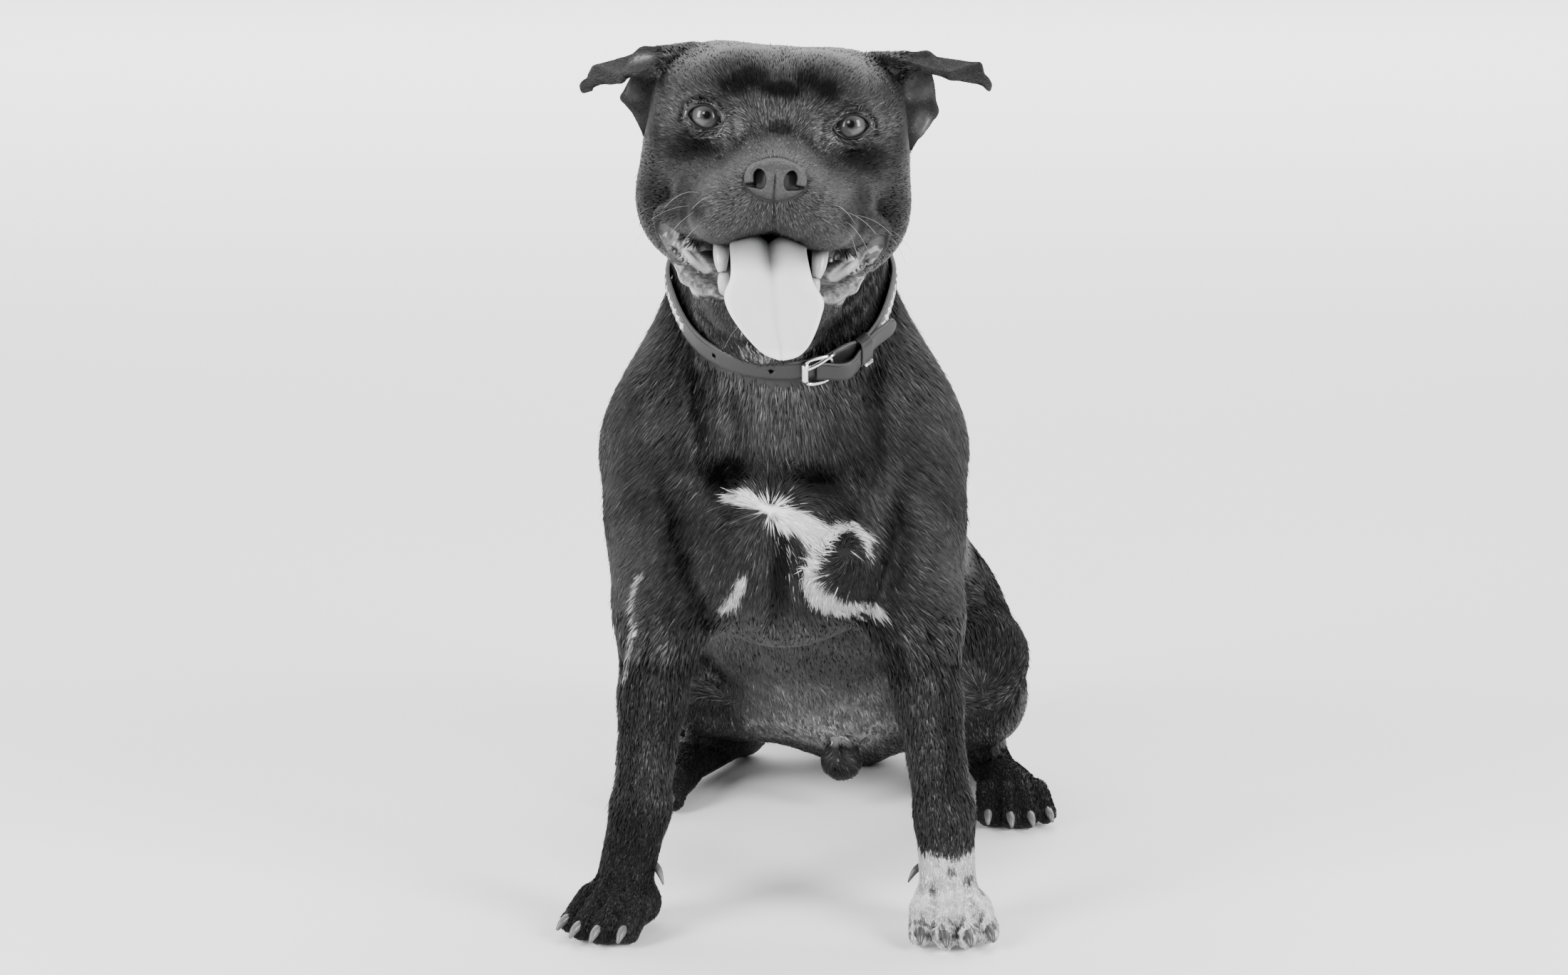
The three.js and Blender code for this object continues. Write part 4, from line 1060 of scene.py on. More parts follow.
def neck_radius(deg):
    """From the collar's middle to the neck's surface, found by halving."""
    way = collar_way(deg)
    low, high = np.full(len(way), 20.0), np.full(len(way), 140.0)
    for _ in range(18):
        mid = (low + high) / 2
        inside = body(COLLAR_AT + way * mid[:, None]) < 0
        low, high = np.where(inside, mid, low), np.where(inside, high, mid)
    return low

def at_collar(deg, out, up):
    """Places out from the neck's surface and up across the strap."""
    outward = collar_way(deg) * (neck_radius(deg) + out)[:, None]
    return COLLAR_AT + outward + COLLAR_UP * np.asarray(up, float)[..., None]

def spot(deg, out, up):
    """One place by the collar."""
    return at_collar([deg], np.array([out]), [up])[0]

def band(name, deg, out, up, wide, thick, closed, taper=None):
    """A strap with softly rounded edges along the collar's way."""
    half, corner = wide / 2, thick * 0.32
    edge = [(half - corner * (1 - math.sin(a)), thick / 2 - corner * (1 - math.cos(a)))
            for a in np.radians((0, 30, 60, 90))]
    section = edge + [(w, -t) for w, t in edge[::-1]]
    flat = np.linspace(-half + corner, half - corner, 8)[1:-1]
    section = section + [(w, -thick / 2) for w in flat[::-1]] + [(-w, -t) for w, t in edge]
    section = section + [(-w, t) for w, t in edge[::-1]] + [(w, thick / 2) for w in flat]
    middle = at_collar(deg, out, up)
    way = collar_way(deg)
    size = np.ones(len(deg)) if taper is None else taper
    rows = [middle + COLLAR_UP * (w * size[:, None]) + way * t for w, t in section]
    obj = wrap(name, np.stack(rows, 1), capped=not closed)
    note(obj, "across", np.tile([w / half for w, _ in section], len(deg)))
    return obj

def punch(strap, deg, out):
    """A round hole through a strap."""
    place, way = spot(deg, out, 0.0), collar_way(deg)[0]
    cutter = rod("punch", [place - way * 6, place + way * 6], (1.5, 1.5))
    apply(strap, "BOOLEAN", operation="DIFFERENCE", object=cutter, solver="EXACT")
    bpy.data.objects.remove(cutter)

def make_strap(leather, lie):
    """The strap round the neck with two holes, and the free end that comes out of the buckle."""
    deg = np.arange(0, 360, 2.0)
    rise = 1.4 * bump(deg - 24, 7) * 2.2
    strap = band("collar_band", deg, lie + 0 * deg, rise, STRAP_WIDE, STRAP_THICK, True)
    for hole in (-27, -4):
        punch(strap, hole, lie)
    t = np.linspace(0, 1, 34)
    free = 12 + 42 * t
    lift = 2.6 + 6.2 * bump(t - 0.27, 0.17) + 8.0 * smooth((t - 0.62) / 0.5)
    drop = -2.6 * bump(t - 0.25, 0.2) + 3.2 * smooth((t - 0.6) / 0.5)
    point = np.sqrt(np.clip(1 - (np.clip((t - 0.93) / 0.07, 0, 1)) ** 2, 0.08, 1))
    end = band("collar_free_end", free, lie + lift, drop, STRAP_WIDE - 1, 2.6, False, point)
    keep(together("collar_leather", [strap, end]), "strap_leather", leather, "collar_strap")

def make_keeper(leather, metal, lie):
    """The loop over strap and free end, closed by a staple underneath."""
    t = round_turn(28)
    top = lie + 2.6 + 2.4
    loop_up = (STRAP_WIDE / 2 + 1.4) * squared(np.sin(t), 0.55)
    loop_out = top / 2 + (top / 2 + 1.2) * squared(np.cos(t), 0.55)
    rings = [np.stack([spot(d, o + grown * np.cos(a), u + grown * np.sin(a))
                       for a, o, u in zip(t, loop_out, loop_up)])
             for d in (30.5, 31, 36, 36.5) for grown in (0.0, 1.3)]
    keep(hoop("collar_loop", rings), "strap_leather", leather, "collar_keeper")
    staple = [spot(d, top + 2.1, -6.6) for d in (31.6, 33.7, 35.6)]
    keep(rod("collar_staple", staple, (1.5, 1.6, 1.5)), "buckle_metal", metal)

def hoop(name, rings):
    """A flat loop of leather from pairs of an inner and an outer ring, side by side."""
    obj = wrap(name, np.stack([rings[i] for i in (0, 2, 4, 6, 7, 5, 3, 1)]), capped=False)
    note(obj, "across", np.repeat([-1.0, -0.7, 0.7, 1.0, 1.0, 0.7, -0.7, -1.0], len(rings[0])))
    apply(obj, "BEVEL", width=0.35 * MM, segments=2)
    shade(obj)
    return obj

BUCKLE_WAY = ((8, -6), (8, 0), (8, 5), (9, 8.2), (12, 8.6), (16, 8.4),      # degrees, up
              (18, 5), (18, -5), (16, -8.6), (12, -9), (9, -8.6))
PRONG_WAY = ((7, 2.6, 1.0), (10, 4.4, 3.4), (14, 4.6, 6.2), (18.6, 4.0, 9.0))   # degrees, out, up

def make_buckle(metal, lie):
    """The frame with its roller, and the prong that lies over it."""
    out = lie + 3.4
    ring = [spot(d, out, u) for d, u in BUCKLE_WAY]
    bars = [rod("frame", ring, np.full(len(ring), 1.25), closed=True, round_steps=4)]
    roller = [spot(7.8, out + 0.4, u) for u in (-6.5, 0, 6.5)]
    bars.append(rod("roller", roller, (2.1, 2.1, 2.1), round_steps=5))
    keep(together("collar_frame", bars), "buckle_metal", metal, "collar_buckle")
    pin = rod("collar_pin", [spot(d, lie + o, u) for d, o, u in PRONG_WAY], (1.7, 1.5, 1.3, 1.1),
              round_steps=4)
    keep(pin, "buckle_metal", metal, "collar_prong")

STUDS, STUD_SIZE = (46, 313, 6.4), (4.4, 5.2, 1.1)     # from, to and step in degrees; millimetres

def make_studs(metal, out):
    """Small framed plates round the back of the strap."""
    studs = []
    for deg in np.arange(*STUDS):
        bpy.ops.mesh.primitive_cube_add(size=1)
        stud = bpy.context.object
        edit(stud, everything, lambda: bpy.ops.transform.resize(value=[v * MM for v in STUD_SIZE]),
             lambda: bpy.ops.mesh.select_all(action="DESELECT"))
        for face in stud.data.polygons:
            face.select = face.normal.z > 0.9
        edit(stud, lambda: bpy.ops.mesh.inset(thickness=0.9 * MM, depth=-0.5 * MM))
        q = places(stud) + SHIFT
        way, place = collar_way(deg)[0], spot(deg, out + 0.2, 0.0)
        across = np.cross(COLLAR_UP, way)
        put(stud, place + q[:, :1] * across + q[:, 1:2] * COLLAR_UP + q[:, 2:] * way)
        studs.append(stud)
    plates = together("collar_studs", studs)
    apply(plates, "BEVEL", width=0.4 * MM, segments=2)
    keep(plates, "buckle_metal", metal)

def make_collar():
    """Every piece of the collar; the strap's inner side sinks a little into the coat."""
    leather, metal = strap_finish(), metal_finish()
    lie = STRAP_THICK / 2 - STRAP_SUNK
    make_strap(leather, lie)
    make_keeper(leather, metal, lie)
    make_buckle(metal, lie)
    make_studs(metal, lie + STRAP_THICK / 2)

# ---- markings, and the painted sheen and painted shade of the coat -----------------------------
WHITE_STROKES = (   # on the breast, seen from the front: x, z, half width
    ((-5, 254, 4), (10, 248, 7), (21, 240, 8), (19, 228, 8), (16, 217, 6.5), (22, 206, 6.5),
     (34, 197, 6.5), (52, 193, 5)),
    ((24, 246, 5), (34, 247, 4.5), (42, 242, 3.5), (45, 236, 2.2)),
    ((-8, 256, 2), (-19, 261, 3.2), (-27, 264, 2.2)),
    ((-22, 220, 2.6), (-28, 206, 3.2), (-34, 196, 2)),
)
SCAR = ((-81, 219, 0), (-86, 205, 0), (-88, 182, 0), (-91, 168, 0), (-95, 149, 0))
SPOTS = (   # on the white foot: x, z, radius
    (99, 42, 3), (109, 36, 3.4), (88, 31, 2.6), (103, 49, 1.8), (117, 29, 2.4))

def ripple(p, size, seed=0.0):
    """Soft waves between -1.5 and 1.5."""
    q = p / size
    broad = np.sin(q @ (1.7, 0.6, 1.1) + seed) * np.sin(q @ (-0.8, 1.9, 0.7) + 1.3 * seed)
    return broad + 0.5 * np.sin(q @ (2.9, -2.3, 3.1) + seed)

def stroke(u, points):
    """Distance outside a stroke of varying width, in a plane."""
    out = np.inf
    for a, b in zip(points, points[1:]):
        out = np.minimum(out, cone(u, a[:2], b[:2], a[2], b[2]))
    return out

def white_of(p):
    """How white the coat is: 0 black, 1 white."""
    front = smooth((-95 - p[:, 1]) / 15)
    u = p[:, (0, 2)]
    wave = 1.2 * ripple(p, 5)
    white = np.zeros(len(p))
    for points in WHITE_STROKES:
        white = np.maximum(white, smooth((1.0 - stroke(u, points) + wave) / 2.4) * front)
    scar = smooth((2.0 - stroke(u, SCAR)) / 1.6)
    scar = scar * smooth((-100 - p[:, 1]) / 10) * smooth((-60 - p[:, 0]) / 5)
    at, ahead, across = FOREPAW[1]
    far = np.hypot(p[:, 0] - at[0], p[:, 1] - at[1] + 20)
    foot = smooth((52 + 1.6 * wave - p[:, 2]) / 3) * smooth((60 - far) / 4)
    for x, z, r in SPOTS:
        dark = smooth((r + 0.6 - np.hypot(p[:, 0] - x, p[:, 2] - z)) / 1.6)
        foot = foot * (1 - 0.75 * dark * smooth((-140 - p[:, 1]) / 5))
    for i, (_, tip) in enumerate(toes(at, ahead, across)):
        near = smooth((14 - np.linalg.norm(p - tip - (0, 0, 4), axis=1)) / 8)
        foot = foot * (1 - 0.85 * near * smooth(0.5 + 0.9 * ripple(p, 3.2, i)))
    return np.maximum.reduce((white, 0.55 * scar, foot))

def grey_of(p):
    """Thin pale hair on the belly and the groin, with painted light at the groin, where shade
    falls, on top of its pale hair.
    """
    back = smooth((p[:, 1] + 30) / 40) * smooth((125 - p[:, 2]) / 30) * smooth((150 - p[:, 1]) / 30)
    belly = back * smooth((64 - np.abs(p[:, 0] - 26)) / 22) * (0.75 + 0.25 * ripple(p, 14))
    scrotum = smooth((20 - np.linalg.norm(p - SCROTUM_AT, axis=1)) / 3)
    groin = bump(np.hypot((p[:, 0] - 28) / 42, (p[:, 2] - 60) / 28), 1) * (0.7 + 0.5 * ripple(p, 7))
    return np.clip((0.14 + 0.4 * groin) * belly * (1 - scrotum), 0, 1)

BLACK, PAINTED_SHEEN, WHITE = 0.002, 0.03, 0.72     # tones of black hair, of the sheen painted on it, and of white hair
FACE_PAINTED_SHADE = (   # painted shade on either side of the face, taken out of the painted sheen: across, up, size across and up, and how dark
    (14.5, 23, 7, 7.5, 1), (24.5, 16, 8.5, 6, 1), (0, 15, 15, 5, 1), (0, -5, 6.5, 3.6, 0.75),
    (0, 36.5, 9, 3, 0.8), (71, -14, 8, 18, 0.8), (46, -18, 13, 8, 0.85), (49, -48, 13, 11, 0.9),
    (67, -52, 11, 16, 0.8), (0, -100, 60, 20, 0.4))
BODY_PAINTED_SHADE = (   # painted shade on the body, seen from the front and taken out of the painted sheen: across, up, size across and up, and how dark
    (-29, 278, 17, 13, 1), (14, 277, 19, 12, 1), (-3, 222, 5, 34, 0.9), (-46, 330, 10, 30, 0.7),
    (48, 336, 10, 28, 0.7), (-58, 236, 9, 30, 0.7), (62, 240, 9, 30, 0.7),
    (-20, 160, 40, 14, 0.6), (30, 166, 30, 12, 0.6), (-22, 318, 5, 34, 0.5),
    (26, 322, 5, 30, 0.4), (-96, 62, 26, 22, 0.6), (-92, 130, 8, 40, 0.5), (100, 130, 7, 44, 0.5),
    (40, 92, 20, 18, 1))

def left_by_painted_shade(x, z, dark):
    """What the painted shade leaves of the painted sheen."""
    left = np.ones(len(x))
    for at, up, wide, high, share in dark:
        left *= 1 - share * smooth((1.35 - np.hypot((x - at) / wide, (z - up) / high)) / 0.8)
    return left

def painted_sheen_of(p):
    """How much sheen is painted into the coat's colour: most on brows, muzzle and throat, none in
    the painted shade.
    """
    q = to_head(p)
    x, z = np.abs(q[:, 0] + 1.6 * ripple(p, 6)), q[:, 2] + 1.6 * ripple(p, 5, 3.0)
    # painted highlights under the eyes, on the bridge, temples and muzzle; less painted sheen on
    # the crown, the outer cheeks and the back of the head
    under_eye = 3.0 * bump(np.hypot(x - 26, (z + 8) * 1.2), 12)
    bridge, temple = 2.0 * bump(np.hypot(x, z + 3), 17), 1.3 * bump(np.hypot(x - 54, z - 2), 12)
    muzzle_end, crown = 1.2 * smooth((-q[:, 1] - 15) / 20), 0.7 * smooth((z - 22) / 14)
    face = (0.85 + under_eye + bridge + muzzle_end + temple - crown) * left_by_painted_shade(x, z, FACE_PAINTED_SHADE)
    face = face * (1 - 0.45 * smooth((x - 56) / 14) * smooth((24 - z) / 10))
    face = face * (1 - 0.5 * smooth((q[:, 1] - 70) / 40))
    # painted sheen on the ear flaps; inside the ears, the pale skin's own tone
    ears = 0.5 * smooth((np.abs(q[:, 0]) - 66) / 8) * smooth((q[:, 2] + 10) / 8)
    face = face + ears + (1.8 - face) * in_ear(q)
    ahead = smooth((-60 - p[:, 1]) / 30)
    # painted sheen on the body in broad waves, painted shade seen from the front, less sheen
    # towards the floor, and a painted highlight on the throat under the collar
    wave = 0.5 + 0.3 * ripple(p, 34, 2.0) + 0.16 * ripple(p, 13, 4.0)
    rest = 0.5 + 0.9 * smooth(wave)
    rest = rest * (1 - ahead + ahead * left_by_painted_shade(p[:, 0], p[:, 2], BODY_PAINTED_SHADE))
    rest = rest * (1 - 0.6 * smooth((60 - p[:, 2]) / 30))
    rest = rest + 2.2 * bump(np.hypot(p[:, 0] / 40, (p[:, 2] - 338) / 30), 1) * ahead
    head = smooth((82 - q[:, 1]) / 24) * smooth((q[:, 2] + 135) / 20)
    return np.clip(face * head + rest * (1 - head), 0, 3.6)

def tone_of(p):
    """The tone of the coat at a place, with the painted sheen and painted shade on its black hair.
    """
    black = BLACK + PAINTED_SHEEN * painted_sheen_of(p)
    return black + (WHITE - black) * np.maximum(white_of(p), grey_of(p))

def pale_hairs(p):
    """The share of white hairs: a fan on the throat, some on the chin and by the breast mark."""
    fan = smooth((1 - np.linalg.norm((p - (-22, -205, 352)) / (34, 30, 15), axis=1)) / 0.5)
    q = to_head(p)
    chin = smooth((1 - np.linalg.norm((q - (4, -36, -112)) / (26, 20, 9), axis=1)) / 0.6)
    breast = smooth((1 - np.hypot((p[:, 0] - 14) / 34, (p[:, 2] - 234) / 42)) / 0.8)
    breast = breast * smooth((-95 - p[:, 1]) / 10)
    return 0.42 * fan + 0.12 * chin + 0.05 * breast

def note_skin(skin):
    """Tones, mottling and wetness of the skin itself."""
    p = places(skin)
    q = to_head(p)
    h = halved(q)
    # the coat's tone, its painted sheen and painted shade included
    tone = tone_of(p)
    tone = tone * np.where(tone > 0.1, 1, 0.4)
    # painted shade: the groove of the upper lip is darkened to near black, over its own dark skin
    tone *= 1 - 0.95 * bump(off_groove(q), 1.2) * smooth((-40 - q[:, 1]) / 5)
    mouth = smooth((2.2 - lining(h)) / 1.5) * smooth((68 - h[:, 0]) / 2)
    low = smooth((-74 - h[:, 2] + 0.35 * (h[:, 0] - 40)) / 6) * smooth((40 - h[:, 1]) / 10)
    fold = np.maximum(smooth((3.0 - cone(h, *MOUTH_FOLD, 3, 2.4)) / 2.0),
                      smooth((1.2 - cone(h, MOUTH_END[0] + vec(2, 0, 2), *MOUTH_END[1:])) / 1.5))
    inner = 0.004 + 0.11 * low * smooth((34 - h[:, 1]) / 20) + 0.05 * smooth((h[:, 0] - 46) / 8)
    inner = inner + (0.42 - inner) * fold + 0.1 * bump(lining(h) - 1.6, 0.8) * low
    tone = tone + (inner - tone) * mouth
    wet, mottled = mouth.copy(), mouth * low * (1 - 0.85 * fold)
    e = h - EYE_AT
    near = smooth((2.6 - lid_gap(e)) / 1.4) * smooth((17 - np.linalg.norm(e, axis=1)) / 2)
    near = near * smooth((4 - e[:, 1]) / 3)
    tone = tone * (1 - near) + 0.004 * near
    inside = in_ear(q)
    tone = tone + (0.07 - tone) * inside * 0.9
    note(skin, "tone", np.clip(tone, 0.002, 0.9))
    note(skin, "wet", np.maximum.reduce((wet, near, 0.3 * inside)))
    note(skin, "mottled", np.maximum(mottled, 0.35 * inside))

# ---- coat --------------------------------------------------------------------------------------
CROWN, CURL = vec(-8, 0, 256), vec(35, 0, 230)     # where the hair of the breast turns
PATCH = 0.003                                      # size of one tuft on the unwrap
SLEEK_BELOW = 3.2                                  # length under which hair lies flat
LOCKS, FLYAWAYS = 0.16, 0.02                       # shares of thick tufts and of lifted ones
RIDGE_AT, ROOT_DEEP = 0.42, 0.35                   # share of the length; millimetres
TUFT = np.array((0, 2, 3, 0, 3, 1, 0, 1, 2, 3, 2, 1))     # corners of its four faces
TUFT_PATCH = np.array(((0, 0), (PATCH, 0), (0, PATCH), (PATCH, PATCH)))

def limbs():
    """Segments that the hair lies along: from, to, radius at each end."""
    for (a, ra), (b, rb) in zip(SPINE, SPINE[1:]):
        yield a, b, ra, rb
    yield (0, -70, 420), (0, -40, 279), 60, 93
    for a, b in zip(TAIL, TAIL[1:]):
        yield a[:3], b[:3], a[3], b[3]
    for s in (-1, 1):
        leg = FORE[s]
        yield vec(*leg["shoulder"]) + (0, 0, 60), leg["elbow"], 46, 30
        yield leg["elbow"], leg["wrist"], 28, 18
        at, ahead, _ = FOREPAW[s]
        yield leg["wrist"], at + ahead * 40 + (0, 0, 12), 18, 12
        yield rear(s * 60, 20, 150), rear(s * 93, -98, 100), 55, 35
        yield rear(s * 93, -90, 90), rear(s * 84, 10, 19), 32, 18
        at, ahead, _ = HINDPAW[s]
        yield rear(s * 84, 22, 19), at + ahead * 40 + (0, 0, 12), 17, 12

def lie_of(p):
    """The way the hair lies, before it is laid on the skin."""
    total = np.zeros_like(p)
    for a, b, ra, rb in limbs():
        a, b = np.asarray(a, float), np.asarray(b, float)
        near = np.maximum(cone(p, a, b, ra, rb), 0) + 4
        total += (near ** -3)[:, None] * unit(b - a)
    total /= np.linalg.norm(total, axis=1)[:, None] + 1e-9
    q = to_head(p)
    away = q - vec(0, -70, -30)
    away /= np.linalg.norm(away, axis=1)[:, None]
    away = away + vec(0, 0.25, 0) - vec(0, 0, 1) * (smooth((-75 - q[:, 2]) / 30) * 0.9)[:, None]
    head = smooth((62 - q[:, 1]) / 30) * smooth((q[:, 2] + 142) / 26)
    total = total * (1 - head)[:, None] + (away @ HEAD_TURN.T) * head[:, None]
    for s in (-1, 1):
        on_ear = (smooth((6 - ear(q, s)) / 5) * smooth((s * q[:, 0] - 62) / 8))[:, None]
        total = total * (1 - on_ear) + (vec(s, -0.35, -0.25) @ HEAD_TURN.T) * on_ear
    front = smooth((-100 - p[:, 1]) / 30) * smooth((360 - p[:, 2]) / 30)
    front = front * smooth((p[:, 2] - 150) / 40) * (1 - head)
    down = np.stack((0.012 * (p[:, 0] + 6), np.full(len(p), -0.1), np.full(len(p), -1.0)), 1)
    total = total * (1 - front)[:, None] + down * front[:, None]
    for centre, reach, out, round_it in ((CROWN, 26, 1.5, 0.0), (CURL, 20, 0.3, -1.4)):
        u = (p - centre) * (1, 0, 1)
        far = np.linalg.norm(u, axis=1)
        pull = (bump(far, reach) * front)[:, None]
        turned = np.stack((-u[:, 2], 0 * far, u[:, 0]), 1)
        total = total * (1 - pull) + (u * out + turned * round_it) / (far + 2)[:, None] * pull * 1.2
    return total

def hair_length(p):
    """Length of the hair, in millimetres: shortest on muzzle and toes."""
    q = to_head(p)
    head = smooth((104 - q[:, 1]) / 34) * smooth((q[:, 2] + 135) / 24)
    by_eye = bump(np.linalg.norm(halved(q) - EYE_AT, axis=1), 17)
    face = 6.6 - 3.4 * smooth((-q[:, 1] - 2) / 30) - 1.6 * by_eye
    on_ear = smooth((np.abs(q[:, 0]) - 64) / 8) * smooth((q[:, 2] + 16) / 6) * head
    legs = smooth((175 - p[:, 2]) / 60) * smooth((-70 - p[:, 1]) / 20)
    aside = smooth((np.abs(to_rear(p)[:, 0]) - 60) / 15)
    feet = smooth((70 - p[:, 2]) / 30) * np.maximum(smooth((-100 - p[:, 1]) / 10), aside)
    body_hair = 10.5 - 4.8 * legs
    body_hair = body_hair + (3.6 - body_hair) * feet
    return body_hair * (1 - head) + (face * (1 - on_ear) + 2.0 * on_ear) * head

def bare(p, n):
    """Where no hair grows: nose, lips, lids, pads, inside the ears and under the strap."""
    q = to_head(p)
    h = halved(q)
    e = h - EYE_AT
    lid = (lid_gap(e) < 0.9) & (np.linalg.norm(e, axis=1) < 17) & (e[:, 1] < 4)
    mouth = (lining(h) < 2.0) & (h[:, 0] < 68)
    nose = nose_pad(h) < 0.2
    pad = (n[:, 2] < -0.45) & (p[:, 2] < 14)
    level, far = above_collar(p), np.hypot((p - COLLAR_AT) @ COLLAR_BACK, (p - COLLAR_AT)[:, 0])
    strap = (np.abs(level - 1) < STRAP_WIDE / 2 + 1.5) & (far < 105) & (p[:, 2] > 330)
    groove = (np.abs(off_groove(q)) < 0.4) & (np.abs(q[:, 2] + 49) < 13) & (q[:, 1] < -40)
    hollow = in_ear(q) > CHANCE.uniform(0.25, 1.0, len(p))
    return lid | mouth | nose | pad | strap | groove | hollow

def territory(p):
    """Which coat piece a place belongs to."""
    q = to_head(p)
    is_left = p[:, 0] - np.clip((p[:, 1] + 40) * 0.2, 0, 46) > 0
    which = np.where(is_left, "coat_side_left", "coat_side_right").astype(object)
    which[(p[:, 1] > 120) | (p[:, 2] < 70)] = "coat_rump"
    which[(p[:, 1] < -92) & (p[:, 2] > 150)] = "coat_breast"
    which[(p[:, 2] > 318)] = "coat_neck"
    which[(p[:, 2] < 196) & (p[:, 1] < -72)] = "coat_forelegs"
    which[(q[:, 1] < 66) & (q[:, 2] > -134) & (p[:, 2] > 330)] = "coat_skull"
    face = (q[:, 1] < 14) & (q[:, 2] > -134) & (p[:, 2] > 330)
    which[face & (q[:, 0] > 0)] = "coat_face_left"
    which[face & (q[:, 0] <= 0)] = "coat_face_right"
    return which

COATS = {   # how many tufts each piece has
    "coat_face_left": 46000, "coat_face_right": 46000, "coat_skull": 47000, "coat_neck": 46000,
    "coat_breast": 40000, "coat_side_left": 32000, "coat_side_right": 32000, "coat_rump": 41000,
    "coat_forelegs": 42000}

def unwrapped_part(skin, chosen):
    """Places, normals and unwrap of the corners of the triangles of some of the skin's faces."""
    select_only(skin)
    bpy.ops.object.duplicate()
    part = bpy.context.view_layer.objects.active
    mesh = part.data
    choose_faces(mesh, ~chosen)
    edit(part, lambda: bpy.ops.mesh.delete(type="FACE"), everything,
         lambda: bpy.ops.uv.smart_project(angle_limit=math.radians(66), island_margin=0.004))
    mesh.calc_loop_triangles()
    corner = np.empty(len(mesh.loop_triangles) * 3, int)
    loops = np.empty(len(mesh.loop_triangles) * 3, int)
    mesh.loop_triangles.foreach_get("vertices", corner)
    mesh.loop_triangles.foreach_get("loops", loops)
    normal = np.empty(len(mesh.vertices) * 3)
    mesh.vertices.foreach_get("normal", normal)
    uv = np.empty(len(mesh.loops) * 2)
    mesh.uv_layers.active.uv.foreach_get("vector", uv)
    found = (places(part)[corner].reshape(-1, 3, 3),
             normal.reshape(-1, 3)[corner].reshape(-1, 3, 3),
             uv.reshape(-1, 2)[loops].reshape(-1, 3, 2))
    bpy.data.objects.remove(part)
    return found

def laid(tree, p):
    """The nearest places on the skin, and which way is out of it there."""
    found = [tree.find_nearest(q) for q in ((p + SHIFT) * MM).tolist()]
    return np.array([f[0] for f in found]) / MM - SHIFT, np.array([f[1] for f in found])

def tuft_mesh(name, points, place):
    """An object of closed slivers of four faces, each with its own small patch of the unwrap."""
    count = len(points)
    mesh = bpy.data.meshes.new(name)
    mesh.vertices.add(count * 4)
    mesh.vertices.foreach_set("co", ((points + SHIFT) * MM).ravel())
    mesh.loops.add(count * 12)
    mesh.loops.foreach_set("vertex_index", (np.arange(count)[:, None] * 4 + TUFT).ravel())
    mesh.polygons.add(count * 4)
    mesh.polygons.foreach_set("loop_start", np.arange(count * 4) * 3)
    mesh.update(calc_edges=True)
    corner = np.clip(place, 0, 1 - PATCH)[:, None] + TUFT_PATCH[TUFT]
    mesh.uv_layers.new(name="OFBake").uv.foreach_set("vector", corner.ravel())
    coat = bpy.data.objects.new(name, mesh)
    bpy.context.collection.objects.link(coat)
    return coat

def combed(root, normal):
    """The way each tuft lies along the skin, a little out of line with its neighbours."""
    lie = lie_of(root)
    lie = lie - (lie * normal).sum(1)[:, None] * normal
    lie /= np.linalg.norm(lie, axis=1)[:, None] + 1e-6
    side = np.cross(normal, lie)
    stray = 0.09 * CHANCE.standard_normal(len(root))
    stray = stray + 0.1 * ripple(root, 15) + 0.07 * ripple(root, 4, 2.0)
    return lie * np.cos(stray)[:, None] + side * np.sin(stray)[:, None]

def hair_tones(root, sleek):
    """The tone of each tuft, with single white hairs among the black."""
    count = len(root)
    tone = tone_of(root)
    tone = tone * np.where(tone > 0.3, CHANCE.uniform(0.8, 1.2, count),
                           np.exp((0.5 - 0.25 * sleek) * CHANCE.standard_normal(count)))
    pale = CHANCE.uniform(0, 1, count) < pale_hairs(root)
    return np.clip(np.where(pale, CHANCE.uniform(0.35, 0.7, count), tone), 0.002, 0.85)

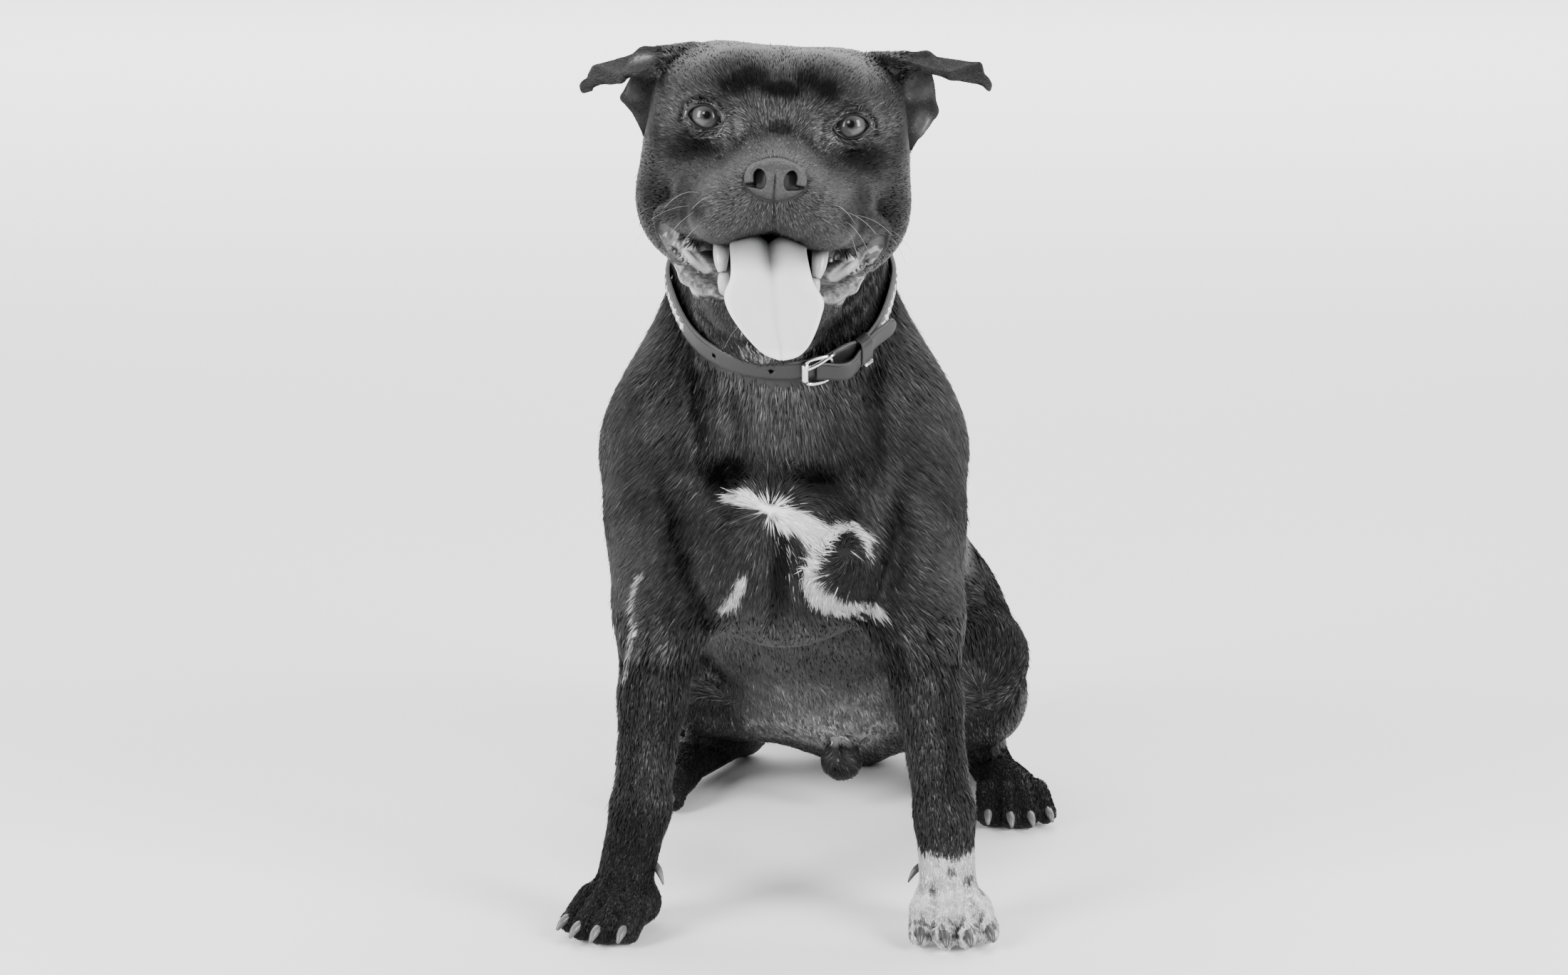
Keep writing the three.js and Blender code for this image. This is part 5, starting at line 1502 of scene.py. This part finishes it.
def grow(name, skin, tree, chosen, count, finish):
    """Grows one coat piece of tufts rooted in the skin, thickest where the hair is short."""
    corners, normals, uv = unwrapped_part(skin, chosen)
    edges = corners[:, 1:] - corners[:, :1]
    area = np.linalg.norm(np.cross(edges[:, 0], edges[:, 1]), axis=1) / 2
    middle = corners.mean(1)
    long = hair_length(middle)
    sleek = smooth(SLEEK_BELOW - long)
    wide = 0.14 + 0.05 * long - 0.06 * sleek
    share = area / (long * wide / 2)
    share[bare(middle, normals.mean(1))] = 0
    wide = wide * np.clip(2.1 * share.sum() / count, 0.8, 1.8)
    pick = CHANCE.choice(len(share), count, p=share / share.sum())
    w = CHANCE.dirichlet((1, 1, 1), count)[:, :, None]
    root, normal, place = ((a[pick] * w).sum(1) for a in (corners, normals, uv))
    normal /= np.linalg.norm(normal, axis=1)[:, None]
    sleek = sleek[pick]
    lock = CHANCE.uniform(0, 1, count) < LOCKS * (1 - sleek)
    fly = CHANCE.uniform(0, 1, count) < FLYAWAYS * (1 - sleek)
    long = long[pick] * CHANCE.uniform(0.75, 1.2, count) * np.where(lock, 1.3, 1)
    wide = wide[pick] * CHANCE.uniform(0.75, 1.25, count) * np.where(lock, 2.0, 1)
    wide = wide * np.where(fly, 0.5, 1)
    lie = combed(root, normal)
    roll = (np.where(lock, 0.2, 0.15) - 0.08 * sleek) * CHANCE.standard_normal(count)
    roll = (roll + 0.07 * ripple(root, 2.6, 5.0))[:, None]
    side = np.cross(normal, lie) * np.cos(roll) + normal * np.sin(roll)
    high = depth(root) * CHANCE.uniform(0.5, 0.85, count) * np.where(lock, 1.2, 1)
    high = high * np.where(fly, 2.4, 1) * (1 - 0.65 * sleek)
    half = (wide / 2)[:, None] * side
    middle, out = laid(tree, root + lie * (RIDGE_AT * long)[:, None])
    ridge = middle + out * (RIDGE_AT * high - 0.06 * wide)[:, None]
    tip, out = laid(tree, root + lie * long[:, None])
    points = np.stack((root - normal * ROOT_DEEP, ridge + half, ridge - half,
                       tip + out * high[:, None]), 1)
    a, b, c = (points[:, i] - points[:, 0] for i in (1, 2, 3))
    inside_out = (np.cross(a, b) * c).sum(1) > 0
    points[inside_out] = points[inside_out][:, (0, 2, 1, 3)]
    coat = tuft_mesh(name, points, place)
    note(coat, "tone", np.repeat(hair_tones(root, sleek), 4))
    keep(coat, "coat", finish)

def make_coat(skin):
    """Grows every piece of the coat on its own part of the skin."""
    finish, owner = coat_finish(), territory(middles(skin.data))
    tree = BVHTree.FromPolygons([v.co for v in skin.data.vertices],
                                [f.vertices for f in skin.data.polygons])
    for name, count in COATS.items():
        grow(name, skin, tree, owner == name, count, finish)

# ---- studio ------------------------------------------------------------------------------------
CAMERA_AT, CAMERA_DOWN, LENS, SENSOR = vec(0, -1940, 627), 11.3, 72.1, 36
FLOOR_SIZE, FLOOR_TONE, WORLD_LIGHT = 30, 0.9, 0.2      # metres, tone, strength
LAMPS = (   # place, what it is aimed at, size across and up in metres, watts
    ((-1750, -1250, 1150), (0, -80, 330), 0.9, 1.5, 95),
    ((1750, -1250, 1150), (0, -80, 330), 0.9, 1.5, 95),
    ((-480, -1900, 1420), (0, -120, 330), 0.4, 0.4, 9),
    ((300, 900, 2300), (0, 0, 200), 1.6, 1.6, 16),
    ((0, 9300, 4000), (0, 9300, 0), 20.0, 14.0, 4000),
)

def aim(obj, place, target):
    """Puts a camera or lamp in place and points it at something."""
    place, target = np.asarray(place, float), np.asarray(target, float)
    obj.location = (place + SHIFT) * MM
    obj.rotation_mode = "QUATERNION"
    obj.rotation_quaternion = Vector(target - place).to_track_quat("-Z", "Y")

def make_studio():
    """Camera, lamps, pale floor and background."""
    camera = bpy.data.objects.new("camera", bpy.data.cameras.new("camera"))
    camera.data.lens, camera.data.sensor_width = LENS, SENSOR
    bpy.context.collection.objects.link(camera)
    down = math.radians(CAMERA_DOWN)
    aim(camera, CAMERA_AT, CAMERA_AT + vec(0, math.cos(down), -math.sin(down)) * 1000)
    bpy.context.scene.camera = camera
    for i, (place, target, wide, high, watts) in enumerate(LAMPS):
        lamp = bpy.data.objects.new(f"lamp_{i}", bpy.data.lights.new(f"lamp_{i}", "AREA"))
        lamp.data.shape, lamp.data.energy = "RECTANGLE", watts
        lamp.data.size, lamp.data.size_y = wide, high
        bpy.context.collection.objects.link(lamp)
        aim(lamp, place, target)
    bpy.ops.mesh.primitive_plane_add(size=FLOOR_SIZE)
    floor = bpy.context.object
    floor.name = "floor"
    finish = Finish("floor_paint", Roughness=0.8)
    finish.tone(FLOOR_TONE + 0.02 * finish.noise(400))
    floor.data.materials.append(finish.material)
    world = bpy.data.worlds.new("studio")
    world.use_nodes = True
    background = world.node_tree.nodes["Background"].inputs
    background["Color"].default_value = (1, 1, 1, 1)
    background["Strength"].default_value = WORLD_LIGHT
    bpy.context.scene.world = world

# ---- the dog -----------------------------------------------------------------------------------
skin = make_skin()
note_skin(skin)
shade(skin)
keep(skin, "coat", skin_finish(), *FLESH)
make_coat(skin)
make_eyes()
make_nose()
make_tongue()
make_teeth()
make_beads()
make_whiskers()
make_claws()
make_collar()
make_studio()
